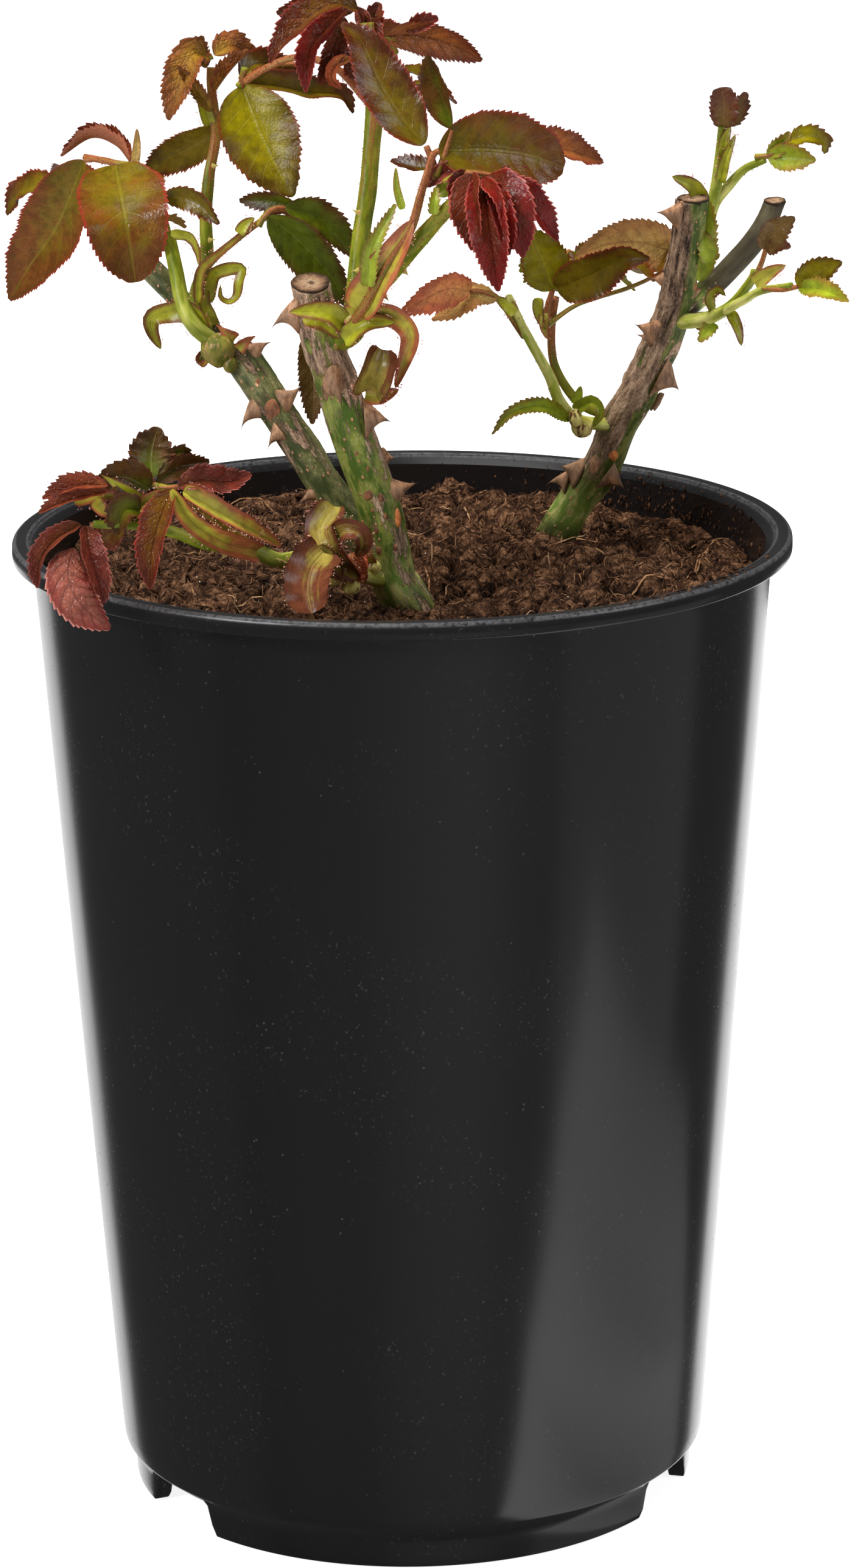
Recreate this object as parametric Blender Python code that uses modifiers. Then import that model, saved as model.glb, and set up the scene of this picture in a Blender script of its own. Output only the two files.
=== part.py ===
"""Potted rose bush: three pruned canes with young shoots, in a round container.

Frame: metres, +Z up. The origin is on the pot's axis, on the ground under its feet, and the
front of the plant faces -Y. The pot is a turned shell on three feet, filled with peat. Each
cane, shoot and leaf stalk is a tapering tube. Each spray of leaves is one closed uneven solid
that follows the true outline of its leaflets.
"""
import math

import bmesh
import bpy
from mathutils import Vector, noise

MM = 0.001
GAP = 0.3 * MM              # clearance kept between pieces that touch
WELD = 0.001 * MM           # points closer than this are one

# ---- driving dimensions of the pot ----------------------------------------------------------
POT_HEIGHT = 268.0 * MM
RIM_RADIUS = 105.0 * MM     # outside of the flange round the top
MOUTH_RADIUS = 100.3 * MM   # inner edge of the rim
RIM_THICKNESS = 4.7 * MM
BODY_RADIUS_LOW = 80.5 * MM     # outside of the wall, carried down to the ground
BODY_RADIUS_HIGH = 99.9 * MM    # outside of the wall, carried up to the top
WALL = 1.8 * MM
FOOT_HEIGHT = 10.0 * MM
FOOT_RADIUS = 78.0 * MM     # outside of the feet at the ground
FOOT_THICKNESS = 4.5 * MM
LEDGE_HEIGHT = 12.5 * MM    # where the feet step out to the wall
FLOOR_THICKNESS = 2.2 * MM
FLOOR_ROUND = 1.5 * MM      # chamfer where the floor meets the wall
NOTCH_ANGLE = math.radians(20.0)
NOTCH_TURN = math.radians(-25.5)    # direction of the first notch, seen from above
NOTCH_REACH = 24.0 * MM     # radial length of a notch's cutter
NOTCH_LOW_SPREAD = 1.12     # a notch is wider at the ground than at its top
NOTCH_HIGH_SPREAD = 0.9
FEET = 3
DRAIN_HOLES = 6
DRAIN_RADIUS = 4.5 * MM
DRAIN_CIRCLE = 46.0 * MM
POT_STEPS = 32

# ---- driving dimensions of the peat ---------------------------------------------------------
SOIL_HEIGHT = 256.0 * MM
SOIL_UNEVEN = 3.0 * MM
SOIL_EDGE = 1.0 * MM        # flat band of peat along the wall
SOIL_WAVES = 45.0           # lumps per metre
SOIL_RINGS = 6

# ---- limbs: points in mm along the centreline, radius in mm at the foot and at the end ------
# name: (points, foot radius, end radius, the limbs that it grows from)
LIMBS = {
    "cane_middle": (
        [(6, -42, 244), (2, -42, 256), (-3, -42, 266), (-6, -41, 284), (-13, -40, 304),
         (-16, -38, 315), (-20, -38, 327), (-23, -36, 342)], 6.2, 5.0, ()),
    "cane_left": (
        [(9, -32, 244), (2, -32, 257), (-8, -30, 270), (-17, -28, 282), (-25, -25, 294),
         (-31, -22, 303), (-39, -17, 315), (-43, -14, 321)], 4.8, 4.6, ("cane_middle",)),
    "cane_left_stub": (
        [(-49, -13, 322), (-57, 1, 329), (-68, 14, 339), (-71, 19, 343)], 3.2, 2.9,
        ("cane_left", "knob_left")),
    "cane_right": (
        [(35, 34, 244), (41, 33, 256), (48, 30, 269), (54, 28, 278), (60, 25, 292),
         (68, 21, 308), (74, 17, 324), (76, 15, 336), (79, 12, 355)], 5.4, 4.3, ()),
    "cane_right_stub": (
        [(76, 17, 324), (83, 20, 329), (89, 23, 334), (98, 28, 343), (102, 31, 351)], 3.4, 2.8,
        ("cane_right",)),
    "shoot_left_tall": (
        [(-49, -13, 323), (-54, -7, 332), (-51, -6, 343), (-51, -4, 354), (-50, -2, 365),
         (-48, 0, 376), (-49, 2, 388), (-49, 3, 393)], 2.0, 1.0,
        ("cane_left", "knob_left", "cane_left_stub")),
    "shoot_left_low": (
        [(-49, -17, 323), (-54, -19, 328), (-57, -16, 333), (-59, -11, 342), (-61, -5, 350)],
        2.0, 1.5, ("cane_left", "knob_left", "shoot_left_tall", "cane_left_stub")),
    "shoot_middle_tall": (
        [(-18, -38, 327), (-13, -34, 330), (-12, -32, 336), (-10, -28, 352), (-8, -25, 364),
         (-7, -23, 374), (-6, -21, 385), (-7, -20, 392), (-8, -18, 407)], 2.4, 1.2,
        ("cane_middle",)),
    "shoot_middle_front": (
        [(-18, -38, 326), (-12, -43, 330), (-9, -44, 338), (-1, -48, 348), (8, -52, 359),
         (16, -55, 368), (18, -57, 371)], 2.6, 1.6, ("cane_middle", "shoot_middle_tall")),
    "shoot_right_inner": (
        [(58, 24, 291), (48, 18, 294), (43, 14, 300), (40, 10, 308), (34, 4, 320),
         (29, -3, 332)], 1.8, 1.0, ("cane_right",)),
    "shoot_right_back": (
        [(59, 25, 293), (49, 25, 297), (42, 22, 308), (41, 20, 319), (42, 17, 328)], 1.3, 1.0,
        ("cane_right", "shoot_right_inner")),
    "shoot_right_top": (
        [(76, 15, 333), (80, 16, 336), (82, 18, 344), (85, 20, 355), (86, 21, 362),
         (87, 22, 373)], 2.0, 1.1, ("cane_right", "cane_right_stub")),
    "shoot_right_side": (
        [(74, 17, 321), (81, 8, 323), (88, 0, 328), (93, -6, 336), (94, -7, 339)], 2.2, 1.3,
        ("cane_right", "cane_right_stub")),
    "shoot_front_low": (
        [(-2, -42, 264), (-13, -52, 268), (-24, -58, 276), (-32, -64, 274), (-39, -68, 280),
         (-50, -74, 282), (-58, -78, 287), (-67, -82, 289), (-78, -85, 290)], 2.4, 1.0,
        ("cane_middle",)),
    "stalk_left": (
        [(-61, -6, 349), (-63, 0, 355), (-67, 8, 362), (-71, 12, 365), (-75, 14, 366)],
        1.2, 0.9, ("shoot_left_low",)),
    "stalk_left_inner": (
        [(-51, -6, 341), (-47, -11, 346), (-42, -17, 351), (-35, -23, 357)], 1.0, 0.9,
        ("shoot_left_tall",)),
    "stalk_green": (
        [(-7, -21, 387), (-16, -15, 395), (-26, -10, 397), (-34, -7, 394), (-40, -4, 390)],
        1.0, 0.9, ("shoot_middle_tall",)),
    "stalk_middle": (
        [(-14, -42, 330), (-9, -49, 338), (-2, -53, 351), (3, -54, 359), (6, -54, 369),
         (9, -51, 378)], 1.4, 0.9, ("shoot_middle_front", "cane_middle")),
    "stalk_right_top": (
        [(83, 18, 346), (85, 21, 352), (89, 22, 357), (93, 18, 362), (98, 14, 365)], 1.2, 0.9,
        ("shoot_right_top",)),
    "stalk_right_side": (
        [(86, 3, 326), (91, -8, 331), (95, -16, 335), (102, -30, 339)], 1.2, 0.9,
        ("shoot_right_side",)),
    "stalk_front_low": (
        [(-32, -64, 274), (-44, -69, 284), (-52, -73, 291), (-60, -77, 297)], 1.1, 0.9,
        ("shoot_front_low",)),
}
KNOB_CENTRE = (-48, -14, 321)       # swollen foot of the left shoots, mm
KNOB_RADIUS = 4.7
KNOB_OF = "cane_left"
KNOB_CLEARANCE = 0.35
THICK_LIMB = 2.8                    # radius in mm from which a limb gets 8 sides and not 6

# ---- sprays of leaves -----------------------------------------------------------------------
# name: (root in mm, leaflets as (tip in mm, width in mm, how far it arches up in mm))
SPRAYS = {
    "leaves_left_pair": ((-77, 15, 367), (
        ((-107, 50, 323), 17, 4), ((-70, 2, 336), 21, 4), ((-92, 30, 366), 7, 6),
        ((-109.5, 60, 346), 9, 2))),
    "leaf_left_inner": ((-47, 1, 377), (((-65, 21, 369), 10, 3),)),
    "leaf_left_low": ((-63, 0, 357), (((-47, -15, 354), 6, 3),)),
    "leaves_left_top": ((-49, 3, 394), (((-60, -8, 381), 9, 8), ((-40, 12, 394), 8, 4))),
    "leaves_green": ((-41, -3, 390), (
        ((-27, -14, 361), 19, 4), ((-12, 8, 379), 6, 2), ((-24, 14, 391), 5, 2),
        ((-32, 36, 374), 12, 3))),
    "leaves_middle_pair": ((-34, -24, 358), (
        ((-13, -22, 333), 11, 3), ((-11, -22, 346), 6, 3), ((-42, -16, 361), 6, 1))),
    "leaves_top": ((-8, -18, 408), (
        ((-32, -32, 399), 7, 5), ((-23, -26, 389), 6, 3), ((23, -4, 395), 7, 4),
        ((-31, -10, 409), 4, 2))),
    "leaves_middle_high": ((9, -50, 379), (
        ((-15, -42, 410), 12, 2), ((43, -34, 370), 14, 4), ((8, -38, 401), 6, 1),
        ((54, -10, 369), 9, 4))),
    "leaves_hanging_red": ((19, -57, 373), (
        ((20, -66, 355), 6, 2), ((25, -68, 345), 7, 3), ((32, -64, 353), 6, 4),
        ((40, -58, 356), 6, 5))),
    "leaves_orange": ((29, -3, 333), (((0, -22, 331), 8, 4), ((8, -14, 328), 4, 2))),
    "leaves_right_low": ((42, 16, 330), (
        ((35, 8, 349), 12, 1), ((66, -6, 342), 11, 2), ((74, 36, 340), 11, 3),
        ((53, 64, 334), 12, 4))),
    "leaves_right_top": ((99, 14, 366), (((111, 16, 365), 8, 2), ((113, -2, 369), 5, 3))),
    "leaf_right_bud": ((87, 22, 374), (((88, 22, 386), 7, 0),)),
    "leaves_right_upper": ((95, -8, 341), (((104, -16, 355), 8, 1), ((103, -14, 346), 5, 1))),
    "leaves_right_side": ((103, -31, 339), (((112, -40, 346), 8, 1), ((113, -49, 338), 6, 1))),
    "leaves_front_left": ((-62, -78, 297), (
        ((-62, -68, 311), 11, 1), ((-77, -84, 303), 6, 1), ((-49, -68, 302), 5, 1),
        ((-38, -66, 298), 5, 1), ((-64, -92, 275), 9, 2))),
    "leaves_front_low": ((-80, -85, 290), (
        ((-93, -84, 273), 8, 2), ((-74, -94, 265), 12, 2), ((-92, -76, 293), 6, 1))),
    "leaf_right_strap": ((46, 15, 296), (((24, -2, 295), 4, 3),)),
    "leaf_hanging_back": ((-22, -31, 326), (((-23, -30, 304), 6, 0),)),
    "leaves_back_left": ((-71, 19, 344), (((-92, 72, 338), 12, 3), ((-74, 62, 352), 10, 3))),
}
LEAF_FACE = Vector((0.0, -0.95, 0.3))   # the way the leaflets face
LEAF_THICKNESS = 4.0 * MM
LEAF_UNEVEN = 0.14                      # share of its half width by which a leaflet's edge wanders
LEAF_GRAIN = 1.7                        # how finely the edge wanders
LEAF_SEED = 90.0                        # sets each leaflet's unevenness by where its tip is
LEAF_FULLNESS = (1.25, 0.75)            # share of the full width near the root and near the tip
LEAF_SEGMENTS = 6
LEAF_RINGS = 5
KNUCKLE_RADIUS = 2.0 * MM               # where the leaflets of a spray meet

COLOURS = {
    # material: (base colour, roughness)
    "black_plastic": ((0.013, 0.013, 0.014), 0.28),
    "peat": ((0.055, 0.028, 0.014), 0.95),
    "cane_bark": ((0.13, 0.15, 0.06), 0.65),
    "green_shoot": ((0.22, 0.36, 0.05), 0.45),
    "olive_leaf": ((0.28, 0.24, 0.03), 0.35),
    "red_leaf": ((0.20, 0.035, 0.02), 0.4),
}
RED_SPRAYS = ("leaves_top", "leaves_hanging_red", "leaves_orange", "leaves_front_left",
              "leaves_front_low")


# ---- scene bookkeeping ----------------------------------------------------------------------
def start_scene():
    """Empty the scene, and make one collection for the parts and one for the cutters."""
    for old in list(bpy.data.objects):
        bpy.data.objects.remove(old, do_unlink=True)
    parts = bpy.data.collections.new("rose_bush")
    tools = bpy.data.collections.new("cutters")
    for made in (parts, tools):
        bpy.context.scene.collection.children.link(made)
    return parts, tools


def material(name):
    """A plain material of one of the named colours, made once."""
    if name in bpy.data.materials:
        return bpy.data.materials[name]
    made = bpy.data.materials.new(name)
    made.use_nodes = True
    shader = made.node_tree.nodes["Principled BSDF"]
    colour, roughness = COLOURS[name]
    shader.inputs["Base Color"].default_value = (*colour, 1.0)
    shader.inputs["Roughness"].default_value = roughness
    shader.inputs["Metallic"].default_value = 0.0
    return made


def new_object(name, mesh, collection):
    """An object that carries the mesh, in the collection."""
    made = bpy.data.objects.new(name, mesh)
    collection.objects.link(made)
    return made


def own_material(obj, name):
    """Give a sub-part a material of its own, of a named colour."""
    own = material(name).copy()
    own.name = f"{obj.name}_{name}"
    obj.data.materials.clear()
    obj.data.materials.append(own)


def as_cutter(obj):
    """Hide a cutter from renders and show it as a wire."""
    obj.hide_render = True
    obj.display_type = "WIRE"


def evaluated_mesh(obj):
    """A new mesh of the object with its modifiers applied."""
    bpy.context.view_layer.update()
    graph = bpy.context.evaluated_depsgraph_get()
    return bpy.data.meshes.new_from_object(obj.evaluated_get(graph))


def boolean(obj, other, operation):
    """Add an exact Boolean modifier that works on the object with the other one."""
    step = obj.modifiers.new(f"{operation.lower()}_{other.name}", "BOOLEAN")
    step.operation = operation
    step.object = other
    step.solver = "EXACT"


def settle(obj):
    """Apply the modifiers and keep the largest body, without the crumbs that a cut can leave."""
    mesh = evaluated_mesh(obj)
    obj.modifiers.clear()
    obj.data = mesh
    work = bmesh.new()
    work.from_mesh(mesh)
    bmesh.ops.remove_doubles(work, verts=work.verts, dist=WELD)
    bodies = []
    unseen = set(work.verts)
    while unseen:
        body = {unseen.pop()}
        edge_of_body = list(body)
        while edge_of_body:
            vert = edge_of_body.pop()
            for edge in vert.link_edges:
                other = edge.other_vert(vert)
                if other in unseen:
                    unseen.discard(other)
                    body.add(other)
                    edge_of_body.append(other)
        bodies.append(body)
    bodies.sort(key=len)
    crumbs = [vert for body in bodies[:-1] for vert in body]
    bmesh.ops.delete(work, geom=crumbs, context="VERTS")
    work.to_mesh(mesh)
    work.free()


def boxes_meet(first, second, margin=1.0 * MM):
    """Whether the bounding boxes of two objects at the origin come within the margin."""
    def corners(obj):
        low = Vector(map(min, zip(*(vert.co for vert in obj.data.vertices))))
        high = Vector(map(max, zip(*(vert.co for vert in obj.data.vertices))))
        return low, high
    low_a, high_a = corners(first)
    low_b, high_b = corners(second)
    return all(low_a[i] < high_b[i] + margin and low_b[i] < high_a[i] + margin
               for i in range(3))


# ---- the pot and the peat -------------------------------------------------------------------
def wall_radius(height):
    """Outside radius of the pot's tapering wall at a height."""
    return BODY_RADIUS_LOW + (BODY_RADIUS_HIGH - BODY_RADIUS_LOW) * height / POT_HEIGHT


def turned(name, profile, collection, steps):
    """A solid of revolution about Z: the profile is (radius, height) pairs that run down the
    outside."""
    mesh = bpy.data.meshes.new(name)
    points = [(radius, 0.0, height) for radius, height in profile]
    edges = [(i, i + 1) for i in range(len(points) - 1)]
    mesh.from_pydata(points, edges, [])
    made = new_object(name, mesh, collection)
    screw = made.modifiers.new("turn", "SCREW")
    screw.axis = "Z"
    screw.angle = math.tau
    screw.steps = steps
    screw.render_steps = steps
    screw.use_merge_vertices = True
    screw.merge_threshold = 0.02 * MM
    return made


def make_pot(parts, tools):
    """The container: a thin tapering wall with a flanged rim, a floor with drain holes, and a
    ring below the floor that three notches divide into feet."""
    floor = FOOT_HEIGHT + FLOOR_THICKNESS
    under_rim = POT_HEIGHT - RIM_THICKNESS
    round_edge = 1.6 * MM
    flare_height = 6.0 * MM
    step_height = 1.2 * MM
    step_width = 1.6 * MM
    profile = [
        (0.0, floor),
        (wall_radius(floor) - WALL - FLOOR_ROUND, floor),
        (wall_radius(floor) - WALL, floor + FLOOR_ROUND),
        (wall_radius(POT_HEIGHT - flare_height) - WALL, POT_HEIGHT - flare_height),
        (MOUTH_RADIUS, POT_HEIGHT - 0.8 * MM),
        (MOUTH_RADIUS + 0.7 * MM, POT_HEIGHT),
        (RIM_RADIUS - round_edge, POT_HEIGHT),
        (RIM_RADIUS - 0.4 * MM, POT_HEIGHT - 0.5 * MM),
        (RIM_RADIUS, POT_HEIGHT - round_edge),
        (RIM_RADIUS, under_rim + 0.6 * MM),
        (RIM_RADIUS - 0.6 * MM, under_rim),
        (wall_radius(under_rim), under_rim),
        (wall_radius(LEDGE_HEIGHT), LEDGE_HEIGHT),
        (wall_radius(LEDGE_HEIGHT) - step_width, LEDGE_HEIGHT - step_height),
        (FOOT_RADIUS, 0.0),
        (FOOT_RADIUS - FOOT_THICKNESS, 0.0),
        (FOOT_RADIUS - FOOT_THICKNESS, FOOT_HEIGHT),
        (0.0, FOOT_HEIGHT),
    ]
    pot = turned("pot", profile, parts, POT_STEPS)
    notch_width = 2.0 * FOOT_RADIUS * math.sin(NOTCH_ANGLE / 2.0)
    notch_top = FOOT_HEIGHT - 0.6 * MM
    notch_below = 4.0 * MM
    for index in range(FEET):
        bearing = NOTCH_TURN + index * math.tau / FEET
        bpy.ops.mesh.primitive_cube_add(size=1.0)
        notch = bpy.context.object
        notch.name = f"notch_{index + 1}"
        for vert in notch.data.vertices:
            low = vert.co.z < 0.0
            vert.co.x *= NOTCH_REACH
            vert.co.y *= notch_width * (NOTCH_LOW_SPREAD if low else NOTCH_HIGH_SPREAD)
            vert.co.z = -notch_below if low else notch_top
        notch.location = (FOOT_RADIUS * math.cos(bearing), FOOT_RADIUS * math.sin(bearing), 0.0)
        notch.rotation_euler = (0.0, 0.0, bearing)
        move_to(notch, tools)
        as_cutter(notch)
        boolean(pot, notch, "DIFFERENCE")
    for index in range(DRAIN_HOLES):
        bearing = index * math.tau / DRAIN_HOLES
        bpy.ops.mesh.primitive_cylinder_add(
            vertices=8, radius=DRAIN_RADIUS, depth=4.0 * FLOOR_THICKNESS,
            location=(DRAIN_CIRCLE * math.cos(bearing), DRAIN_CIRCLE * math.sin(bearing),
                      FOOT_HEIGHT + FLOOR_THICKNESS / 2.0))
        drain = bpy.context.object
        drain.name = f"drain_{index + 1}"
        move_to(drain, tools)
        as_cutter(drain)
        boolean(pot, drain, "DIFFERENCE")
    own_material(pot, "black_plastic")
    settle(pot)
    pot.data.shade_smooth()
    pot.data.set_sharp_from_angle(angle=math.radians(35.0))
    return pot


def move_to(obj, collection):
    """Move an object that an operator made into the collection."""
    for other in list(obj.users_collection):
        other.objects.unlink(obj)
    collection.objects.link(obj)


def make_soil(parts):
    """The peat: it fills the pot to just under the rim, with an uneven top."""
    floor = FOOT_HEIGHT + FLOOR_THICKNESS + GAP
    edge_radius = wall_radius(SOIL_HEIGHT) - WALL - GAP
    floor_radius = wall_radius(floor) - WALL - FLOOR_ROUND - GAP
    round_height = FLOOR_ROUND + 2.0 * GAP
    rings = [edge_radius * ring / SOIL_RINGS for ring in range(SOIL_RINGS + 1)]
    profile = [(radius, SOIL_HEIGHT) for radius in rings]
    profile.append((wall_radius(floor + round_height) - WALL - GAP, floor + round_height))
    profile.append((floor_radius, floor))
    profile.append((0.0, floor))
    soil = turned("soil", profile, parts, POT_STEPS)
    own_material(soil, "peat")
    settle(soil)
    inner = edge_radius - SOIL_EDGE
    for vert in soil.data.vertices:
        if vert.co.z > SOIL_HEIGHT - SOIL_EDGE and vert.co.xy.length < inner:
            vert.co.z += SOIL_UNEVEN * noise.noise(vert.co * SOIL_WAVES)
    return soil


# ---- limbs ----------------------------------------------------------------------------------
def tube(name, path, radii, collection):
    """A tapering tube along the path: a curve with a round bevel and filled caps, made a mesh."""
    curve = bpy.data.curves.new(name, "CURVE")
    curve.dimensions = "3D"
    curve.bevel_depth = 1.0
    curve.bevel_resolution = 2 if max(radii) > THICK_LIMB * MM else 1
    curve.use_fill_caps = True
    spline = curve.splines.new("POLY")
    spline.points.add(len(path) - 1)
    for point, place, radius in zip(spline.points, path, radii):
        point.co = (*place, 1.0)
        point.radius = radius
    line = new_object(f"{name}_line", curve, collection)
    mesh = evaluated_mesh(line)
    mesh.name = name
    work = bmesh.new()
    work.from_mesh(mesh)
    bmesh.ops.remove_doubles(work, verts=work.verts, dist=WELD)
    bmesh.ops.recalc_face_normals(work, faces=work.faces)
    work.to_mesh(mesh)
    work.free()
    made = new_object(name, mesh, collection)
    made.matrix_world = line.matrix_world
    bpy.data.objects.remove(line, do_unlink=True)
    bpy.data.curves.remove(curve)
    return made


def limb_path(name):
    """Centreline and radii of a limb, in metres, tapering evenly from foot to end."""
    points, foot, end, _ = LIMBS[name]
    path = [Vector(point) * MM for point in points]
    last = len(path) - 1
    radii = [(foot + (end - foot) * i / last) * MM for i in range(last + 1)]
    return path, radii


def make_limb(name, parts):
    """One cane, shoot or leaf stalk."""
    path, radii = limb_path(name)
    made = tube(name, path, radii, parts)
    own_material(made, "cane_bark" if name.startswith("cane") else "green_shoot")
    return made


def make_limb_cutter(name, tools):
    """The limb's own shape, a gap wider all round and a gap longer at both ends."""
    path, radii = limb_path(name)
    path[0] = path[0] + (path[0] - path[1]).normalized() * GAP
    path[-1] = path[-1] + (path[-1] - path[-2]).normalized() * GAP
    side_gap = GAP / math.cos(math.pi / 6.0)
    made = tube(f"{name}_clearance", path, [radius + side_gap for radius in radii], tools)
    as_cutter(made)
    return made


def make_knob(name, radius, collection):
    """The round swelling at the top of the left cane."""
    mesh = bpy.data.meshes.new(name)
    work = bmesh.new()
    bmesh.ops.create_icosphere(work, subdivisions=2, radius=radius * MM)
    bmesh.ops.translate(work, verts=work.verts, vec=Vector(KNOB_CENTRE) * MM)
    work.to_mesh(mesh)
    work.free()
    return new_object(name, mesh, collection)


def make_limbs(parts, tools):
    """All limbs, each cut back to a gap from those that it grows from."""
    cutters = {name: make_limb_cutter(name, tools) for name in LIMBS}
    knob = make_knob("knob_left", KNOB_RADIUS, tools)
    as_cutter(knob)
    cutters["knob_left"] = make_knob("knob_left_clearance", KNOB_RADIUS + KNOB_CLEARANCE, tools)
    as_cutter(cutters["knob_left"])
    limbs = {}
    for name, (_, _, _, carriers) in LIMBS.items():
        limb = make_limb(name, parts)
        if name == KNOB_OF:
            boolean(limb, knob, "UNION")
        for carrier in carriers:
            boolean(limb, cutters[carrier], "DIFFERENCE")
        settle(limb)
        limbs[name] = limb
    return limbs, cutters


# ---- sprays of leaves -----------------------------------------------------------------------
def leaflet(name, root, tip, width, arch, collection):
    """A thick uneven blade from root to tip: a ball drawn out along its length, widest before
    the middle and pointed at the end, bent up in an arch."""
    length = tip - root
    along = length.normalized()
    side = along.cross(LEAF_FACE).normalized()
    normal = along.cross(side)
    near_root, near_tip = LEAF_FULLNESS
    mesh = bpy.data.meshes.new(name)
    work = bmesh.new()
    bmesh.ops.create_uvsphere(work, u_segments=LEAF_SEGMENTS, v_segments=LEAF_RINGS, radius=1.0)
    for vert in work.verts:
        across, through, ball = vert.co
        share = (ball + 1.0) / 2.0
        place = Vector((across, through, ball)) * LEAF_GRAIN + tip * LEAF_SEED
        wander = 1.0 + LEAF_UNEVEN * 2.0 * noise.noise(place)
        fullness = (near_root + (near_tip - near_root) * share) * wander
        bend = arch * 4.0 * share * (1.0 - share)
        vert.co = (root + length * share + Vector((0.0, 0.0, bend))
                   + side * across * fullness * width / 2.0
                   + normal * through * wander * LEAF_THICKNESS / 2.0)
    work.to_mesh(mesh)
    work.free()
    return new_object(name, mesh, collection)


def make_spray(name, parts, tools):
    """One closed uneven solid for a spray: its leaflets, joined at the knuckle they grow from."""
    root, blades = SPRAYS[name]
    root = Vector(root) * MM
    mesh = bpy.data.meshes.new(name)
    work = bmesh.new()
    bmesh.ops.create_icosphere(work, subdivisions=1, radius=KNUCKLE_RADIUS)
    bmesh.ops.translate(work, verts=work.verts, vec=root)
    work.to_mesh(mesh)
    work.free()
    spray = new_object(name, mesh, parts)
    for index, (tip, width, arch) in enumerate(blades, start=1):
        tip = Vector(tip) * MM
        start = root - (tip - root).normalized() * KNUCKLE_RADIUS
        blade = leaflet(f"{name}_{index}", start, tip, width * MM, arch * MM, tools)
        as_cutter(blade)
        boolean(spray, blade, "UNION")
    settle(spray)
    own_material(spray, "red_leaf" if name in RED_SPRAYS else "olive_leaf")
    return spray


def make_sprays(parts, tools, cutters):
    """All sprays, each with clearance round the limbs that reach into it."""
    for name in SPRAYS:
        spray = make_spray(name, parts, tools)
        for cutter in cutters.values():
            if boxes_meet(spray, cutter):
                boolean(spray, cutter, "DIFFERENCE")
        settle(spray)


def main():
    """Build the pot, the peat, the limbs and the sprays."""
    parts, tools = start_scene()
    make_pot(parts, tools)
    soil = make_soil(parts)
    limbs, cutters = make_limbs(parts, tools)
    for name in ("cane_middle", "cane_left", "cane_right"):
        boolean(soil, cutters[name], "DIFFERENCE")
    settle(soil)
    make_sprays(parts, tools, cutters)
    for limb in limbs.values():
        limb.data.shade_smooth()


main()
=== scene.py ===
# %% [markdown]
# # A potted rose bush
# Three pruned canes stand in a deep black pot of peat. Young shoots grow from them, with leaves
# that are still red, orange and olive. Every piece here is a surface worked out with numpy: a
# value for each point of a grid, given to the mesh as whole arrays.

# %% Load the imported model
import math
import bpy
import numpy as np
from mathutils import Matrix

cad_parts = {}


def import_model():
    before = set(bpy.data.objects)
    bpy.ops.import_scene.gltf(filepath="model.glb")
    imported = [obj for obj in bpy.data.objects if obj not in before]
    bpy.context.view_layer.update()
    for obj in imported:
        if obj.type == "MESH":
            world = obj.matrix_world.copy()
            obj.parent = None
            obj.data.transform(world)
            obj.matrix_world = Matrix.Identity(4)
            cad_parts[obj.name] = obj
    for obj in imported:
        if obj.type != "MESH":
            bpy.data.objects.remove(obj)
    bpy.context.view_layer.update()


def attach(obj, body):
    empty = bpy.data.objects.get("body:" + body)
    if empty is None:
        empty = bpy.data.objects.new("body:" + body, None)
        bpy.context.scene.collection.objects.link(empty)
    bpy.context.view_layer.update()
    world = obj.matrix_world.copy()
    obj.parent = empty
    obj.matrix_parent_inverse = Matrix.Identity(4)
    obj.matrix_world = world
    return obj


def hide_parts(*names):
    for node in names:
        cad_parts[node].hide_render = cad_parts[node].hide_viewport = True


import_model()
MM = 0.001

# %% [markdown]
# ## Seeing places
# A plant has no drawing to measure from, so most leaves are placed by where the camera sees them:
# across and down on a view of 1398 by 2576 points, and how far behind the pot's axis they are.
# The camera is a simple pinhole, so the same few numbers turn such a point into a place.

# %% The camera's numbers, and places from what it sees
VIEW_WIDE = 1398
VIEW_HIGH = 2576
EYE = np.array([0.0, -1381.3, 583.7])       # mm
PITCH = 0.2730
ROLL = -0.0109
YAW = 0.0040
FOCAL = 8626.0                              # in points of the view
SENSOR = 36.0
MIDDLE = (VIEW_WIDE / 2.0, VIEW_HIGH / 2.0)

AHEAD = np.array([math.sin(YAW) * math.cos(PITCH), math.cos(YAW) * math.cos(PITCH),
                  -math.sin(PITCH)])
LEVEL = np.array([math.cos(YAW), -math.sin(YAW), 0.0])
UPRIGHT = np.cross(LEVEL, AHEAD)
ACROSS = LEVEL * math.cos(ROLL) + UPRIGHT * math.sin(ROLL)
UPWARD = UPRIGHT * math.cos(ROLL) - LEVEL * math.sin(ROLL)


def at(seen):
    """Places in mm: the ray from the eye through (across, down), run out until it lies
    `depth` mm behind the pot's axis. The last axis of `seen` is (across, down, depth)."""
    seen = np.asarray(seen, float)
    across = (seen[..., 0:1] - MIDDLE[0]) / FOCAL
    down = (seen[..., 1:2] - MIDDLE[1]) / FOCAL
    ray = AHEAD + across * ACROSS - down * UPWARD
    return EYE + ray * (seen[..., 2:3] - EYE[1]) / ray[..., 1:2]


def seen_from(places):
    """The way back: across and down are the ray's share of the view's two directions."""
    ray = np.asarray(places, float) - EYE
    far = ray @ AHEAD
    return np.stack([MIDDLE[0] + FOCAL * (ray @ ACROSS) / far,
                     MIDDLE[1] - FOCAL * (ray @ UPWARD) / far], axis=-1)


print("the pot's foot is seen at", seen_from([[0.0, -78.0, 0.0]]).round())

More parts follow.
